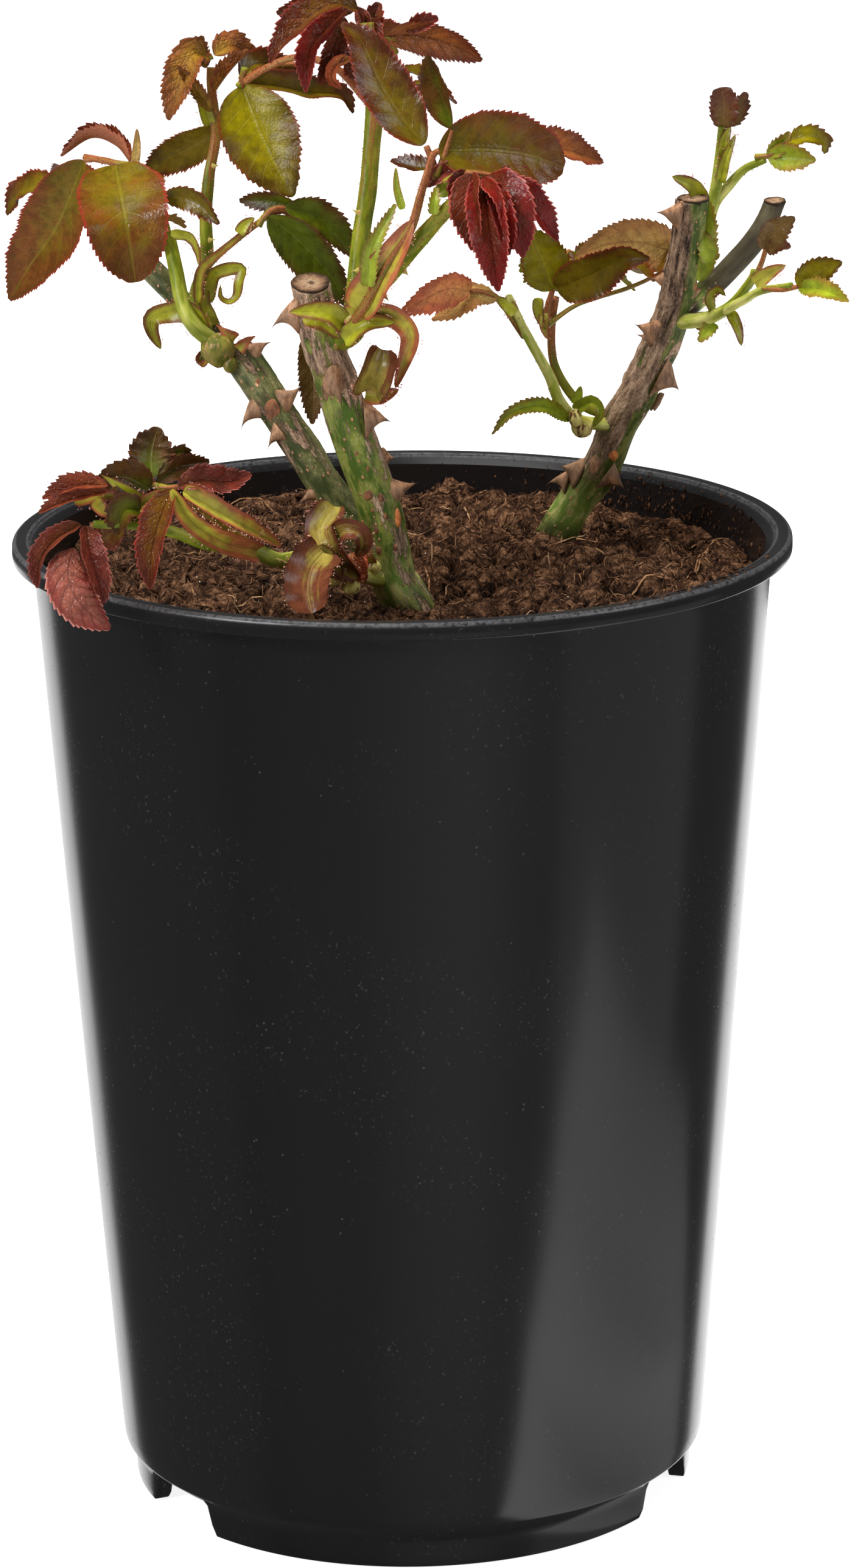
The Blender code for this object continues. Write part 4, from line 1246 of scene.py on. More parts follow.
# %% Shoots and stalks
# name: points in mm, radius at the foot and at the end, how red at the foot and at the end, and
# bristles per mm
STEMS = {
    "shoot_left_tall": ([(-46, -14, 320), (-49, -13, 323), (-54, -7, 332), (-51, -6, 343),
                         (-51, -4, 354), (-50, -2, 365), (-48, 0, 376), (-49, 2, 388),
                         (-49, 3, 393)], 2.1, 1.1, 0.0, 0.75, 1.6),
    "shoot_left_low": ([(-46, -16, 319), (-49, -17, 323), (-54, -19, 328), (-57, -16, 333),
                        (-59, -11, 342), (-61, -5, 350)], 2.3, 1.8, -0.20, 0.0, 0.0),
    "shoot_middle_tall": ([(-20, -37, 322), (-18, -38, 327), (-13, -34, 330), (-12, -32, 336),
                           (-10, -28, 352), (-8, -25, 364), (-7, -23, 374), (-6, -21, 385),
                           (-7, -20, 392), (-8, -18, 407)], 2.4, 2.3, 0.2, 0.5, 1.7),
    "shoot_middle_front": ([(-20, -37, 322), (-18, -38, 326), (-12, -43, 330), (-9, -44, 338),
                            (-1, -48, 348), (8, -52, 359), (16, -55, 368), (18, -57, 371)],
                           2.7, 1.8, 0.05, 0.45, 3.0),
    "shoot_right_inner": ([(61, 24, 289), (58, 24, 291), (48, 18, 294), (43, 14, 300),
                           (40, 10, 308), (34, 4, 320), (29, -3, 332)], 1.9, 1.0, -0.6, -0.35, 0.8),
    "shoot_right_back": ([(61, 25, 291), (59, 25, 293), (49, 25, 297), (42, 22, 308),
                          (41, 20, 319), (42, 17, 328)], 1.4, 1.0, 0.2, 0.9, 0.6),
    "shoot_right_top": ([(74, 16, 329), (76, 15, 333), (80, 16, 336), (82, 18, 344),
                         (85, 20, 355), (86, 21, 362), (87, 22, 373)], 2.4, 1.0, -0.6, 0.0, 1.0),
    "shoot_right_side": ([(72, 18, 320), (74, 17, 321), (81, 8, 323), (88, 0, 328),
                          (93, -6, 336), (94, -7, 339)], 2.3, 1.0, -0.5, 0.1, 0.2),
    "shoot_front_low": ([(2, -42, 262), (-2, -42, 264), (-13, -52, 269), (-24, -58, 274),
                         (-32, -64, 275), (-39, -68, 279), (-50, -74, 282), (-58, -78, 286),
                         (-67, -82, 289), (-78, -85, 290)], 2.7, 1.0, -0.35, 0.2, 0.9),
    "stalk_left": ([(-61, -8, 347), (-61, -6, 349), (-63, 0, 355), (-67, 8, 362), (-71, 12, 365),
                    (-75, 14, 366), (-84, 20, 367)], 1.3, 0.8, 0.2, 0.9, 1.6),
    "stalk_left_inner": ([(-52, -6, 336), (-51, -6, 341), (-47, -11, 346), (-42, -17, 351),
                          (-35, -23, 357), (-31, -23, 359), (-28, -22, 358)], 1.1, 0.7, 0.1,
                         0.9, 1.2),
    "stalk_green": ([(-7, -21, 386), (-16, -15, 395), (-26, -10, 397), (-34, -7, 394),
                     (-40, -4, 390)], 1.0, 0.9, 0.9, 0.9, 2.2),
    "stalk_middle": ([(-17, -41, 326), (-14, -42, 330), (-9, -49, 338), (-2, -53, 351),
                      (3, -54, 359), (6, -54, 369), (9, -51, 378)], 1.6, 0.9, 0.6, 0.9, 2.2),
    "stalk_right_top": ([(82, 17, 343), (83, 18, 346), (85, 21, 352), (89, 22, 357),
                         (93, 18, 362), (98, 14, 365)], 1.8, 0.9, -0.5, -0.1, 0.5),
    "stalk_right_side": ([(84, 5, 325), (86, 3, 326), (91, -8, 331), (95, -16, 335),
                          (102, -30, 339)], 1.4, 0.8, -0.5, -0.1, 0.5),
    "stalk_front_low": ([(-32, -64, 275), (-44, -69, 284), (-52, -73, 291), (-60, -77, 296)],
                        1.2, 0.8, 0.4, 0.9, 0.8),
}
STEM_STEP = 0.7
STEM_COLUMNS = 18


def young_stem():
    """Green, redder where the `red` attribute is high and paler where it is below nothing, with
    lengthwise ribs."""
    make = Finish("young_stem")
    straight, red = make.mark("straight", "Vector"), make.mark("red")
    rib = make.noise(straight, (1.6, 1.6, 0.05), 3.0)
    cloud = make.noise(straight, (0.5, 0.5, 0.15), 3.0)
    fine = make.noise(straight, 4.0, 2.0)
    pale = make.mix(cloud.between(0.3, 0.7), (150, 160, 54), (212, 204, 128))
    green = make.mix(cloud.between(0.3, 0.7), (86, 98, 16), (138, 142, 38))
    tan = make.mix(fine.between(0.35, 0.65), (106, 54, 30), (160, 100, 62))
    green = make.mix((red * -1.0).between(0.0, 0.6), green, pale)
    share = (red + (rib - 0.5) * 1.6 + (cloud - 0.5) * 0.6).between(0.28, 0.82)
    colour = make.mix(share, green, tan)
    return make.done(base_color=colour, roughness=0.34, normal=make.bump(rib, 0.25, 0.6),
                     specular_ior_level=0.25)


def stem_relief(place, share, angle):
    """Three faint ribs that wind slowly, and slight swellings."""
    return (0.10 * np.cos(3.0 * angle + place[..., 2] * 0.03)
            + 0.10 * noise(place / np.array([2.0, 2.0, 6.0]), 31))


def ways_out(path, row, chance):
    """A direction out of a path at each of some rows, at any angle, and the way along it."""
    along, out, side = travel(path, FRONT)
    angle = chance.random(len(row)) * math.tau
    return out[row] * np.cos(angle)[:, None] + side[row] * np.sin(angle)[:, None], along[row]


PYRAMID = np.array([(0, 1, 3, 3), (1, 2, 3, 3), (2, 0, 3, 3), (0, 2, 1, 1)])


def spikes(places, ways, lengths, radii, bend_to=(0.0, 0.0, -0.3)):
    """Three-sided pyramids: three points round each foot and one at the tip, which leans a
    little."""
    ways = unit(ways)
    side = unit(np.cross(ways, np.array([0.31, 0.27, 0.91])))
    other = np.cross(ways, side)
    angle = np.arange(3) * math.tau / 3.0
    feet = places[:, None] + radii[:, None, None] * (
        side[:, None] * np.cos(angle)[:, None] + other[:, None] * np.sin(angle)[:, None])
    tips = places + (ways + np.array(bend_to)) * lengths[:, None]
    return (np.concatenate([feet, tips[:, None]], axis=1).reshape(-1, 3),
            copied(PYRAMID, len(places)))


def make_stems(finish, bristles, chance):
    """Every shoot and stalk as a piece, and its bristles on one of two heaps."""
    for name, (points, foot, end, red_low, red_high, density) in STEMS.items():
        length = length_of(path_through(points, 40))[-1]
        rows = int(length / STEM_STEP)
        path = path_through(points, rows)
        radii = foot + (end - foot) * np.linspace(0.0, 1.0, rows) ** 1.2
        LIMBS[name] = (path, radii)
        places, faces, straightened, share = tube(path, radii, STEM_COLUMNS, stem_relief)
        red = red_low + (red_high - red_low) * ease(share, 0.25, 0.9)
        put(name, places, faces, finish, "green_shoot", [name],
            marks={"straight": straightened, "red": red}, crease=0)
        count = int(length * density)
        if not count:
            continue
        row = (chance.random(count) ** 0.8 * (rows - 4)).astype(int) + 2
        ways, along = ways_out(path, row, chance)
        feet = path[row] + ways * (radii[row] * 0.92)[:, None]
        ways = ways - along * (0.25 + 0.3 * chance.random((count, 1)))
        lengths = 0.55 + 0.8 * chance.random(count) ** 2
        shape = spikes(feet, ways, lengths, 0.13 + 0.05 * chance.random(count))
        bristles[red_high > 0.4].add(*shape)


STEM_SKIN = young_stem()
bristles = {True: Heap(), False: Heap()}
make_stems(STEM_SKIN, bristles, np.random.default_rng(7))

# %% Knobs
# Where a shoot breaks out of old wood there is a swollen, wrinkled knob of young tissue.
# name: where it is seen with its depth, and its radii across, out and upright in mm
KNOBS = {
    "left": ((358, 575, -19), (4.7, 4.4, 4.6)),
    "left_fold": ((378, 600, -21), (1.9, 1.4, 2.2)),
    "left_edge": ((331, 590, -14), (1.6, 1.2, 1.8)),
    "base": ((609, 932, -49), (2.9, 2.4, 2.2)),
    "base_low": ((577, 962, -54), (2.5, 2.2, 2.5)),
    "base_bud": ((548, 938, -56), (2.8, 2.2, 4.2)),
    "base_tip": ((622, 945, -47), (1.6, 1.4, 1.6)),
    "right_low": ((957, 703, 15), (3.0, 2.6, 2.8)),
    "right_bud": ((946, 688, 13), (1.9, 1.7, 2.6)),
    "right_joint": ((1154, 528, 12), (2.4, 2.0, 2.6)),
}
PALE_KNOBS = ("base", "base_low", "base_bud", "base_tip", "right_low", "right_bud")
# Each prickle of a young shoot: its limb, the two ends of its foot and its point as seen, and how
# many mm nearer the point is.
PRICKLES = (
    ("shoot_front_low", (455, 922), (468, 924), (449, 938), 1.0),
    ("shoot_front_low", (404, 868), (414, 872), (407, 860), 1.5),
    ("shoot_front_low", (425, 874), (436, 878), (430, 866), 1.0),
    ("shoot_front_low", (480, 912), (490, 914), (484, 913), 2.4),
    ("shoot_front_low", (500, 900), (508, 904), (509, 893), 0.5),
    ("shoot_front_low", (367, 908), (376, 912), (360, 921), 0.0),
    ("shoot_middle_tall", (590, 344), (590, 356), (577, 341), 0.5),
    ("shoot_middle_tall", (586, 440), (586, 450), (576, 446), 0.5),
    ("shoot_middle_front", (668, 440), (660, 450), (672, 454), 0.5),
    ("shoot_middle_front", (636, 482), (628, 490), (640, 496), 0.5),
    ("shoot_left_tall", (352, 268), (351, 278), (361, 270), 0.5),
    ("shoot_left_tall", (346, 390), (346, 399), (356, 392), 0.5),
)
prickles = Heap()
for prickle in PRICKLES:
    spike_seen(prickles, *prickle, 0.55, rows=9, columns=10, sink=0.6)
prickles.put("prickles", plain("prickle", (176, 168, 84), (186, 140, 90), 900.0, 0.4),
             "green_shoot", crease=0)
knobs, buds = Heap(), Heap()
for title, (seen, radii) in KNOBS.items():
    heap = buds if title in PALE_KNOBS else knobs
    lump(heap, at(seen), radii, rows=26, columns=42, uneven=0.10, seed=len(title))


def knob_skin(name, dark, light):
    """Yellow-green with lengthwise tan streaks, brown where two noises are high."""
    make = Finish(name)
    place = make.place()
    streak = make.noise(place, (900.0, 900.0, 200.0), 4.0, 0.6)
    cloud = make.noise(place, 210.0, 3.0)
    colour = make.mix(cloud.between(0.35, 0.65), dark, light)
    colour = make.mix(streak.between(0.52, 0.64) * 0.7, colour, (168, 126, 84))
    colour = make.mix(cloud.between(0.54, 0.64) * streak.between(0.42, 0.52), colour,
                      (104, 62, 36))
    return make.done(base_color=colour, roughness=0.45, normal=make.bump(streak, 0.25, 0.8),
                     specular_ior_level=0.3)


knobs.put("knobs", knob_skin("knob", (78, 84, 22), (140, 128, 54)), "green_shoot", crease=0)
buds.put("base_buds", knob_skin("base_bud", (166, 160, 56), (226, 212, 128)), "green_shoot",
         crease=0)

# %% [markdown]
# ## Leaves
# A rose leaflet is a blade on a curved midrib: egg-shaped, with saw teeth that lean forward,
# folded along the midrib and puckered between the side veins. Here it is a grid. One way runs
# along the midrib and the other across, and four rows make one tooth. The same rule makes the
# stipules, the green straps at the foot of a leaf stalk.

# %% One blade
FACE = (0.0, -0.95, 0.30)       # the way most leaves face
BLADE_COLUMNS = 6               # each way from the midrib
BLADE_HALF_THICK = 0.13         # mm
TOOTH_GAP = 1.5                 # mm along the midrib
ROW_GAP = 0.9                   # mm between the rows of a blade without teeth
SAW_PEAK = 0.75                 # where in its gap a tooth is highest
TOOTH_LEAN = 0.65               # how far its point lies forward, as a share of its height
RIB_HALF = 0.45                 # mm: how far the midrib's thickening reaches
LEAF = (0.60, 0.85)             # fullness at the foot and at the tip: smaller is fuller
ROUND = (0.50, 0.62)
NARROW = (0.85, 0.95)
STRAP = (0.16, 0.55)
HORN = (0.10, 1.00)


def outline_of(u, shape):
    """Half width from 0 to 1 along the midrib: (u^a)(1-u)^b over its highest value."""
    a, b = shape
    peak = (a / (a + b)) ** a * (b / (a + b)) ** b
    return np.maximum((u + 0.004) ** a * (1.004 - u) ** b / peak, 0.035)


def along_list(values, u):
    """A value for each share of the length, from a few given at even steps."""
    values = np.atleast_1d(np.asarray(values, float))
    if len(values) == 1:
        return np.full(len(u), values[0])
    return np.interp(u, np.linspace(0.0, 1.0, len(values)), values)


def blade(points, width, shape=LEAF, face=FACE, roll=0.0, fold=14.0, curl=12.0, teeth=None,
          tooth=0.72, wave=0.35, pucker=0.30, veins=8.0, slant=0.20, seed=0, placed=False):
    """A closed thin solid. The midrib passes through `points` (across, down, depth). At each row
    the section turns by `fold` degrees at the midrib and by `curl` more towards the margin, so a
    point at arc length s across lies at (sin(f + cs) - sin f) / c sideways and
    (cos f - cos(f + cs)) / c up. `roll` turns the section about the midrib. The points are
    places in mm if `placed`."""
    mid = np.asarray(points, float) if placed else at(points)
    length = length_of(path_through(mid, 30))[-1]
    if teeth is None:
        teeth = max(5, int(length / TOOTH_GAP))
    rows = teeth * 4 + 1 if teeth else max(16, int(length / ROW_GAP))
    u = np.linspace(0.0, 1.0, rows)
    path = path_through(mid, rows)
    along, out, side = travel(path, face)
    turn = np.radians(along_list(roll, u))[:, None]
    out, side = (out * np.cos(turn) + side * np.sin(turn), side * np.cos(turn) - out * np.sin(turn))

    v = np.linspace(-1.0, 1.0, 2 * BLADE_COLUMNS + 1)
    v = np.sign(v) * np.abs(v) ** 0.82
    a = np.abs(v)[None]
    half = (width / 2.0 * outline_of(u, shape))[:, None]
    f = np.radians(along_list(fold, u))[:, None]
    c = np.radians(along_list(curl, u))[:, None]
    c = np.where(np.abs(c) < 0.01, 0.01, c)
    across = half * (np.sin(f + c * a) - np.sin(f)) / c
    up = half * (np.cos(f) - np.cos(f + c * a)) / c
    tilt = (f + c * a) * np.sign(v)

    phase = (u * max(teeth, 1)) % 1.0
    saw = np.where(phase < 0.01, 0.0, phase / SAW_PEAK)
    body = np.sin(np.clip(u, 0.03, 0.985) * math.pi) ** 0.35
    reach = tooth * saw * body if teeth else 0.0 * u
    flank = np.where(a > 0.99, 1.0, np.where(a > 0.82, 0.25, 0.0))
    across = across + reach[:, None] * flank * np.cos(f + c * a)
    up = up + reach[:, None] * flank * np.sin(f + c * a)
    forward = reach[:, None] * flank * TOOTH_LEAN

    chance = np.random.default_rng(seed * 17 + int(abs(points[0][0])))
    s = veins * (u[:, None] - slant * a)
    lift = pucker * np.abs(np.sin(math.pi * s)) ** 0.7 * np.minimum(half / 5.0, 1.2)
    up = up + lift * a ** 0.5 * (1.0 - a ** 4)
    ripple = np.sin(u[:, None] * (5.0 + 4.0 * chance.random()) * math.pi + chance.random() * 6.0
                    + np.sign(v) * (1.0 + chance.random()))
    up = up + wave * ripple * a ** 2 * np.minimum(half / 4.0, 1.3)

    sign = np.sign(v)
    places = (path[:, None] + side[:, None] * (across * sign)[..., None]
              + out[:, None] * up[..., None] + along[:, None] * forward[..., None])
    normal = out[:, None] * np.cos(tilt)[..., None] - side[:, None] * np.sin(tilt)[..., None]
    row = np.arange(rows)
    rim = (1.0 - a ** 6) * np.minimum(1.0, np.minimum(row, rows - 1 - row))[:, None]
    rib = 1.0 + 1.2 * np.exp(-(a * half / RIB_HALF) ** 2)
    thickness = normal * (BLADE_HALF_THICK * rim * rib)[..., None]

    columns = len(v)
    top = np.arange(rows * columns).reshape(rows, columns)
    inner = np.zeros((rows, columns), bool)
    inner[1:-1, 1:-1] = True
    below = top.copy()
    below[inner] = rows * columns + np.arange(inner.sum())
    square = grid(rows, columns)
    faces = np.vstack([square, below.ravel()[square][:, ::-1]])
    all_places = np.vstack([(places + thickness).reshape(-1, 3), (places - thickness)[inner]])
    way = np.stack([np.broadcast_to(v, (rows, columns)),
                    np.broadcast_to(u[:, None], (rows, columns))], axis=-1)
    way = np.vstack([way.reshape(-1, 2), way[inner]])
    real = way * np.array([width / 2.0, length])
    sheet = np.repeat([0.0, 1.0], len(square))
    margin = places[:, [0, -1]], side[:, None] * np.array([[-1.0], [1.0]])
    return {"places": all_places, "faces": faces, "way": way, "real": real, "sheet": sheet,
            "margin": margin}


# %% [markdown]
# A spray gathers the leaflets that grow from one stalk into one piece. Each leaflet's upper and
# lower side gets a cell of its own in the spray's UV map, so that a texture baked from the
# materials later keeps every vein.


# %% A spray of blades
MAP_INSET = 0.03                    # the border left free in each cell of the map
NEXT_WAY, NEXT_REAL = 0.37, 31.0    # steps from blade to blade, so that no two look alike


class Spray:
    """Blades of one spray, each with its own finish."""

    def __init__(self):
        self.blades = []

    def leaf(self, finish, points, width, tint=0.5, **how):
        """Add a blade. `tint` is 0 where it is still green and 1 where it is red."""
        made = blade(points, width, seed=len(self.blades), **how)
        made["finish"], made["tint"] = finish, tint
        self.blades.append(made)
        return made

    def put(self, name, slot, replaces=()):
        """Make the spray one piece with a map cell for each side of each blade."""
        across = math.ceil(math.sqrt(2 * len(self.blades)))
        cell = 1.0 / across
        heap, finishes, indices = Heap(), [], []
        for index, made in enumerate(self.blades):
            if made["finish"] not in finishes:
                finishes.append(made["finish"])
            indices.append(np.full(len(made["faces"]), finishes.index(made["finish"])))
            share = made["way"] * np.array([0.5, 1.0]) + np.array([0.5, 0.0])
            spot = 2 * index + made["sheet"]
            corner = np.stack([spot % across, spot // across], axis=-1)[:, None]
            atlas = corner + MAP_INSET + share[made["faces"]] * (1.0 - 2.0 * MAP_INSET)
            sheet = np.stack([made["sheet"], np.full(len(made["sheet"]), made["tint"])], axis=-1)
            sheet = np.broadcast_to(sheet[:, None], (len(made["faces"]), 4, 2))
            count = len(made["places"])
            heap.add(made["places"], made["faces"],
                     {"way": np.hstack([made["way"], np.full((count, 1), index * NEXT_WAY)]),
                      "real": np.hstack([made["real"], np.full((count, 1), index * NEXT_REAL)])},
                     {SPRAY_MAP: atlas * cell, "sheet": sheet})
        piece = heap.put(name, finishes[0], slot, replaces, crease=48.0)
        for finish in finishes[1:]:
            piece.data.materials.append(finish)
        piece.data.polygons.foreach_set("material_index",
                                        np.concatenate(indices).astype(np.int32))
        return piece


# %% [markdown]
# The finish of a leaf follows the blade. The `way` attribute says how far across and along a
# point lies, so the midrib, the side veins and the red that creeps in from the margin are sums of
# those two numbers. A cell pattern in real millimetres makes the fine net between the veins.

# %% Leaf finishes
VEINS = 8.0
VEIN_SLANT = 0.20
LEAF_SHADE = (0.52, 0.50, 0.48, 1.0)
LEAF_LIT = (1.0, 1.0, 1.0, 1.0)


def leaf_finish(name, fresh, young, margin, vein, under, gloss=0.34, net=0.5, red_edge=0.55,
                veined=1.0, streaked=0.0, shine=0.40):
    """`fresh` in the middle, `young` towards the margin and where the tint is high. A strap has
    lengthwise streaks in place of side veins."""
    make = Finish(name)
    across, along = make.parts(make.mark("way", "Vector"))
    under_side, tint = make.parts(make.map("sheet"))
    real = make.mark("real", "Vector")
    out = across.math("ABSOLUTE", across)
    cloud = make.noise(real, 0.16, 3.0)
    fine = make.noise(real, 1.6, 3.0, 0.6)
    young_share = (tint + (out * out - 0.35) * red_edge + (cloud - 0.5) * 1.1
                   + (along - 0.45) * 0.55 + (fine - 0.5) * 0.2)
    if streaked:
        lengthways = make.noise(real, (0.75, 0.06, 1.0), 3.0)
        young_share = young_share + (lengthways - 0.5) * streaked
    young_share = young_share.between(0.18, 0.82)
    colour = make.mix(young_share, fresh, young)
    shade = make.noise(real, 0.45, 4.0, 0.6) * 0.5 + make.noise(real, 0.14, 2.0) * 0.5
    dusk = along.between(0.5, 1.0) * 0.45 + out.between(0.45, 1.0) * 0.4
    colour = make.shaded(colour, 0.8, make.mix(shade.between(0.36, 0.6) - dusk, LEAF_SHADE,
                                               LEAF_LIT))
    rib = out.between(0.075, 0.02)
    bow = (along - out * VEIN_SLANT) * VEINS
    side = bow.math("PINGPONG", bow, 0.5).between(0.05 + net * 0.05, 0.0)
    side = side * out.between(1.0, 0.8) * veined
    walls = make.cells(real, (0.85, 0.85, 1.0), "DISTANCE_TO_EDGE")
    mesh = walls.between(0.10, 0.01)
    lines = (rib * 0.9).math("MAXIMUM", side * 0.55, rib * 0.9)
    colour = make.mix(lines * (0.16 + net * 0.3 + under_side * 0.4), colour, vein)
    colour = make.mix(mesh * (net * 0.25 + under_side * net * 0.35), colour, vein)
    colour = make.mix(under_side * 0.62, colour, under)
    colour = make.mix(out.between(0.90, 0.99) * 0.75, colour, margin)
    cell = walls.between(0.0, 0.32)
    height = cell * (net * 0.85) + fine * 0.12 - side * (0.1 + net * 0.5) - rib * 0.6
    height = height * (1 - under_side * 1.7)
    return make.done(base_color=colour, roughness=gloss + under_side * 0.22 + fine * 0.12,
                     normal=make.bump(height, 0.28, 0.7), specular_ior_level=shine)


OLIVE = leaf_finish("leaf_olive", (106, 88, 8), (112, 60, 18), (136, 36, 28), (136, 136, 30),
                    (150, 122, 56), 0.20, 0.2, 0.38)
GREEN = leaf_finish("leaf_green", (130, 118, 4), (92, 66, 10), (104, 40, 20), (158, 152, 36),
                    (150, 150, 46), 0.26, 0.2, shine=0.26)
DARK = leaf_finish("leaf_dark", (80, 90, 8), (78, 46, 16), (92, 46, 34), (120, 130, 40),
                   (100, 88, 50), 0.28, 0.2, shine=0.28)
RUST = leaf_finish("leaf_rust", (160, 92, 40), (132, 58, 30), (108, 40, 28), (84, 36, 24),
                   (150, 90, 60), 0.32, 0.9)
MAROON = leaf_finish("leaf_maroon", (118, 66, 34), (112, 44, 30), (158, 84, 72), (74, 24, 20),
                     (150, 84, 68), 0.26, 0.9)
BURGUNDY = leaf_finish("leaf_burgundy", (100, 66, 14), (94, 38, 18), (150, 56, 48),
                       (70, 24, 16), (138, 72, 38), 0.22, 0.8)
SCARLET = leaf_finish("leaf_scarlet", (96, 38, 16), (118, 22, 16), (176, 84, 72),
                      (78, 14, 14), (118, 24, 18), 0.28, 0.5)
ORANGE = leaf_finish("leaf_orange", (220, 150, 84), (202, 104, 66), (150, 66, 40),
                     (124, 62, 38), (186, 126, 88), 0.40, 0.9)
OCHRE = leaf_finish("leaf_ochre", (150, 112, 26), (132, 74, 28), (122, 58, 30), (86, 50, 20),
                    (140, 98, 46), 0.34, 1.0)
PLUM = leaf_finish("leaf_plum", (104, 86, 8), (86, 38, 14), (134, 48, 38), (136, 114, 30),
                   (88, 60, 34), 0.22, 0.15)
ROSE = leaf_finish("leaf_rose", (150, 84, 66), (136, 56, 46), (200, 130, 116), (78, 24, 24),
                   (160, 92, 78), 0.26, 1.1)
BUD = leaf_finish("leaf_bud", (112, 84, 40), (100, 52, 34), (84, 36, 24), (140, 108, 60),
                  (140, 100, 60), 0.30, 0.5)
PALE = leaf_finish("leaf_pale", (146, 160, 32), (150, 120, 40), (132, 84, 40), (180, 186, 74),
                   (156, 162, 60), 0.32, 0.2)
TAN = leaf_finish("leaf_tan", (214, 178, 98), (190, 134, 74), (140, 84, 48), (140, 92, 50),
                  (206, 168, 104), 0.40, 0.8)
STIPULE = leaf_finish("stipule", (158, 158, 34), (128, 82, 40), (92, 40, 32), (190, 184, 70),
                      (126, 98, 44), 0.26, 0.1, 0.9, 0.0, 0.8)
BRONZE = leaf_finish("stipule_bronze", (158, 142, 62), (106, 56, 36), (84, 34, 30),
                     (178, 160, 80), (140, 78, 44), 0.22, 0.1, 0.9, 0.0, 1.3)
PINK_STIPULE = leaf_finish("stipule_pink", (176, 166, 58), (176, 96, 62), (128, 42, 36),
                           (196, 190, 84), (160, 104, 64), 0.28, 0.12, 0.9, 0.0, 1.0)
print("finishes", len(bpy.data.materials))

# %% [markdown]
# ## The sprays
# Each leaf is written down by name: its finish, the midrib from foot to tip as it is seen
# (across, down, depth in mm), its full width in mm, how red it is from 0 to 1, and how it is
# turned, folded and curled. A stipule is a strap without teeth, unless its row says otherwise.

# %% The crown at the left
SPRAYS = {
    "leaves_left_pair": {
        "outer": (OLIVE, ((139, 264, 19), (95, 370, 32), (48, 440, 43), (16, 493, 50)), 20, 0.62,
                  dict(roll=14, fold=14, curl=20)),
        "inner": (OLIVE, ((189, 272, 10), (206, 360, -9), (222, 464, -10)), 23.5, 0.5,
                  dict(shape=ROUND, fold=8, curl=14, roll=-6)),
        "curled": (RUST, ((214, 266, 13), (190, 238, 20), (150, 226, 27), (100, 257, 31)), 8, 0.8,
                   dict(fold=50, curl=50, roll=50)),
        "behind": (PLUM, ((88, 300, 40), (36, 314, 52), (11, 353, 56)), 9, 0.4, dict(roll=30)),
        "sliver": (TAN, ((222, 268, 11), (225, 240, 10), (225, 211, 9)), 2.6, 0.3,
                   dict(shape=STRAP, teeth=0)),
    },
    "leaf_left_inner": {
        "blade": (PLUM, ((362, 208, 1), (322, 236, 8), (270, 263, 15), (240, 285, 21)), 10.5,
                  0.22, dict(roll=-18, fold=22)),
    },
    "leaf_left_low": {
        "blade": (PLUM, ((270, 322, -3), (318, 328, -8), (361, 368, -12)), 6.5, 0.25,
                  dict(roll=25, fold=18)),
    },
    "leaves_left_top": {
        "hanging": (OCHRE, ((342, 92, 3), (316, 91, -1), (299, 129, -4), (281, 183, -7),
                            (278, 198, -8)), 10, 0.6, dict(fold=20, curl=16, roll=16)),
        "right": (OCHRE, ((352, 91, 3), (378, 76, 7), (400, 86, 10), (413, 106, 12)), 8, 0.75,
                  dict(roll=-20)),
        "folded": (OCHRE, ((352, 152, -1), (375, 120, 1), (408, 82, 5)), 7, 0.85,
                   dict(fold=48, roll=-30)),
        "thin": (OCHRE, ((347, 183, -2), (320, 145, -3), (291, 107, -6)), 4.5, 0.45, dict(fold=35)),
        "crown": (OCHRE, ((338, 112, 1), (327, 84, 2), (330, 58, 1)), 5.0, 0.7, dict(roll=35)),
        "bract": (STIPULE, ((345, 205, 0), (336, 178, 0), (327, 150, 1)), 4.5, 0.1, dict(fold=30)),
    },
    "leaves_green": {
        "front": (GREEN, ((397, 142, -2), (418, 203, -6), (441, 252, -9), (482, 323, -14)), 21,
                  0.45, dict(fold=12, curl=16, roll=(-4, -4, 10))),
        "rolled": (PLUM, ((404, 138, 0), (450, 142, 3), (510, 153, 8), (560, 158, 10),
                          (580, 186, 12)), 10, 0.45, dict(fold=34, curl=20, roll=-22)),
        "brown": (PLUM, ((395, 128, 2), (420, 106, 6), (460, 112, 10), (497, 126, 13)), 8, 0.6,
                  dict(fold=30, roll=-20)),
    },
    "leaves_middle_pair": {
        "long": (DARK, ((441, 355, -24), (490, 395, -22), (540, 450, -22), (571, 503, -22)), 13.5,
                 0.25, dict(fold=24, roll=18)),
        "short": (DARK, ((468, 341, -23), (530, 365, -20), (587, 425, -20)), 10, 0.35,
                  dict(fold=24, roll=-14)),
        "left": (DARK, ((490, 340, -22), (440, 329, -20), (393, 329, -17)), 6, 0.5,
                 dict(fold=24, roll=-24)),
        "bract": (STIPULE, ((393, 384, -24), (402, 370, -24), (418, 358, -24)), 3.5, 0.4, {}),
    },
}

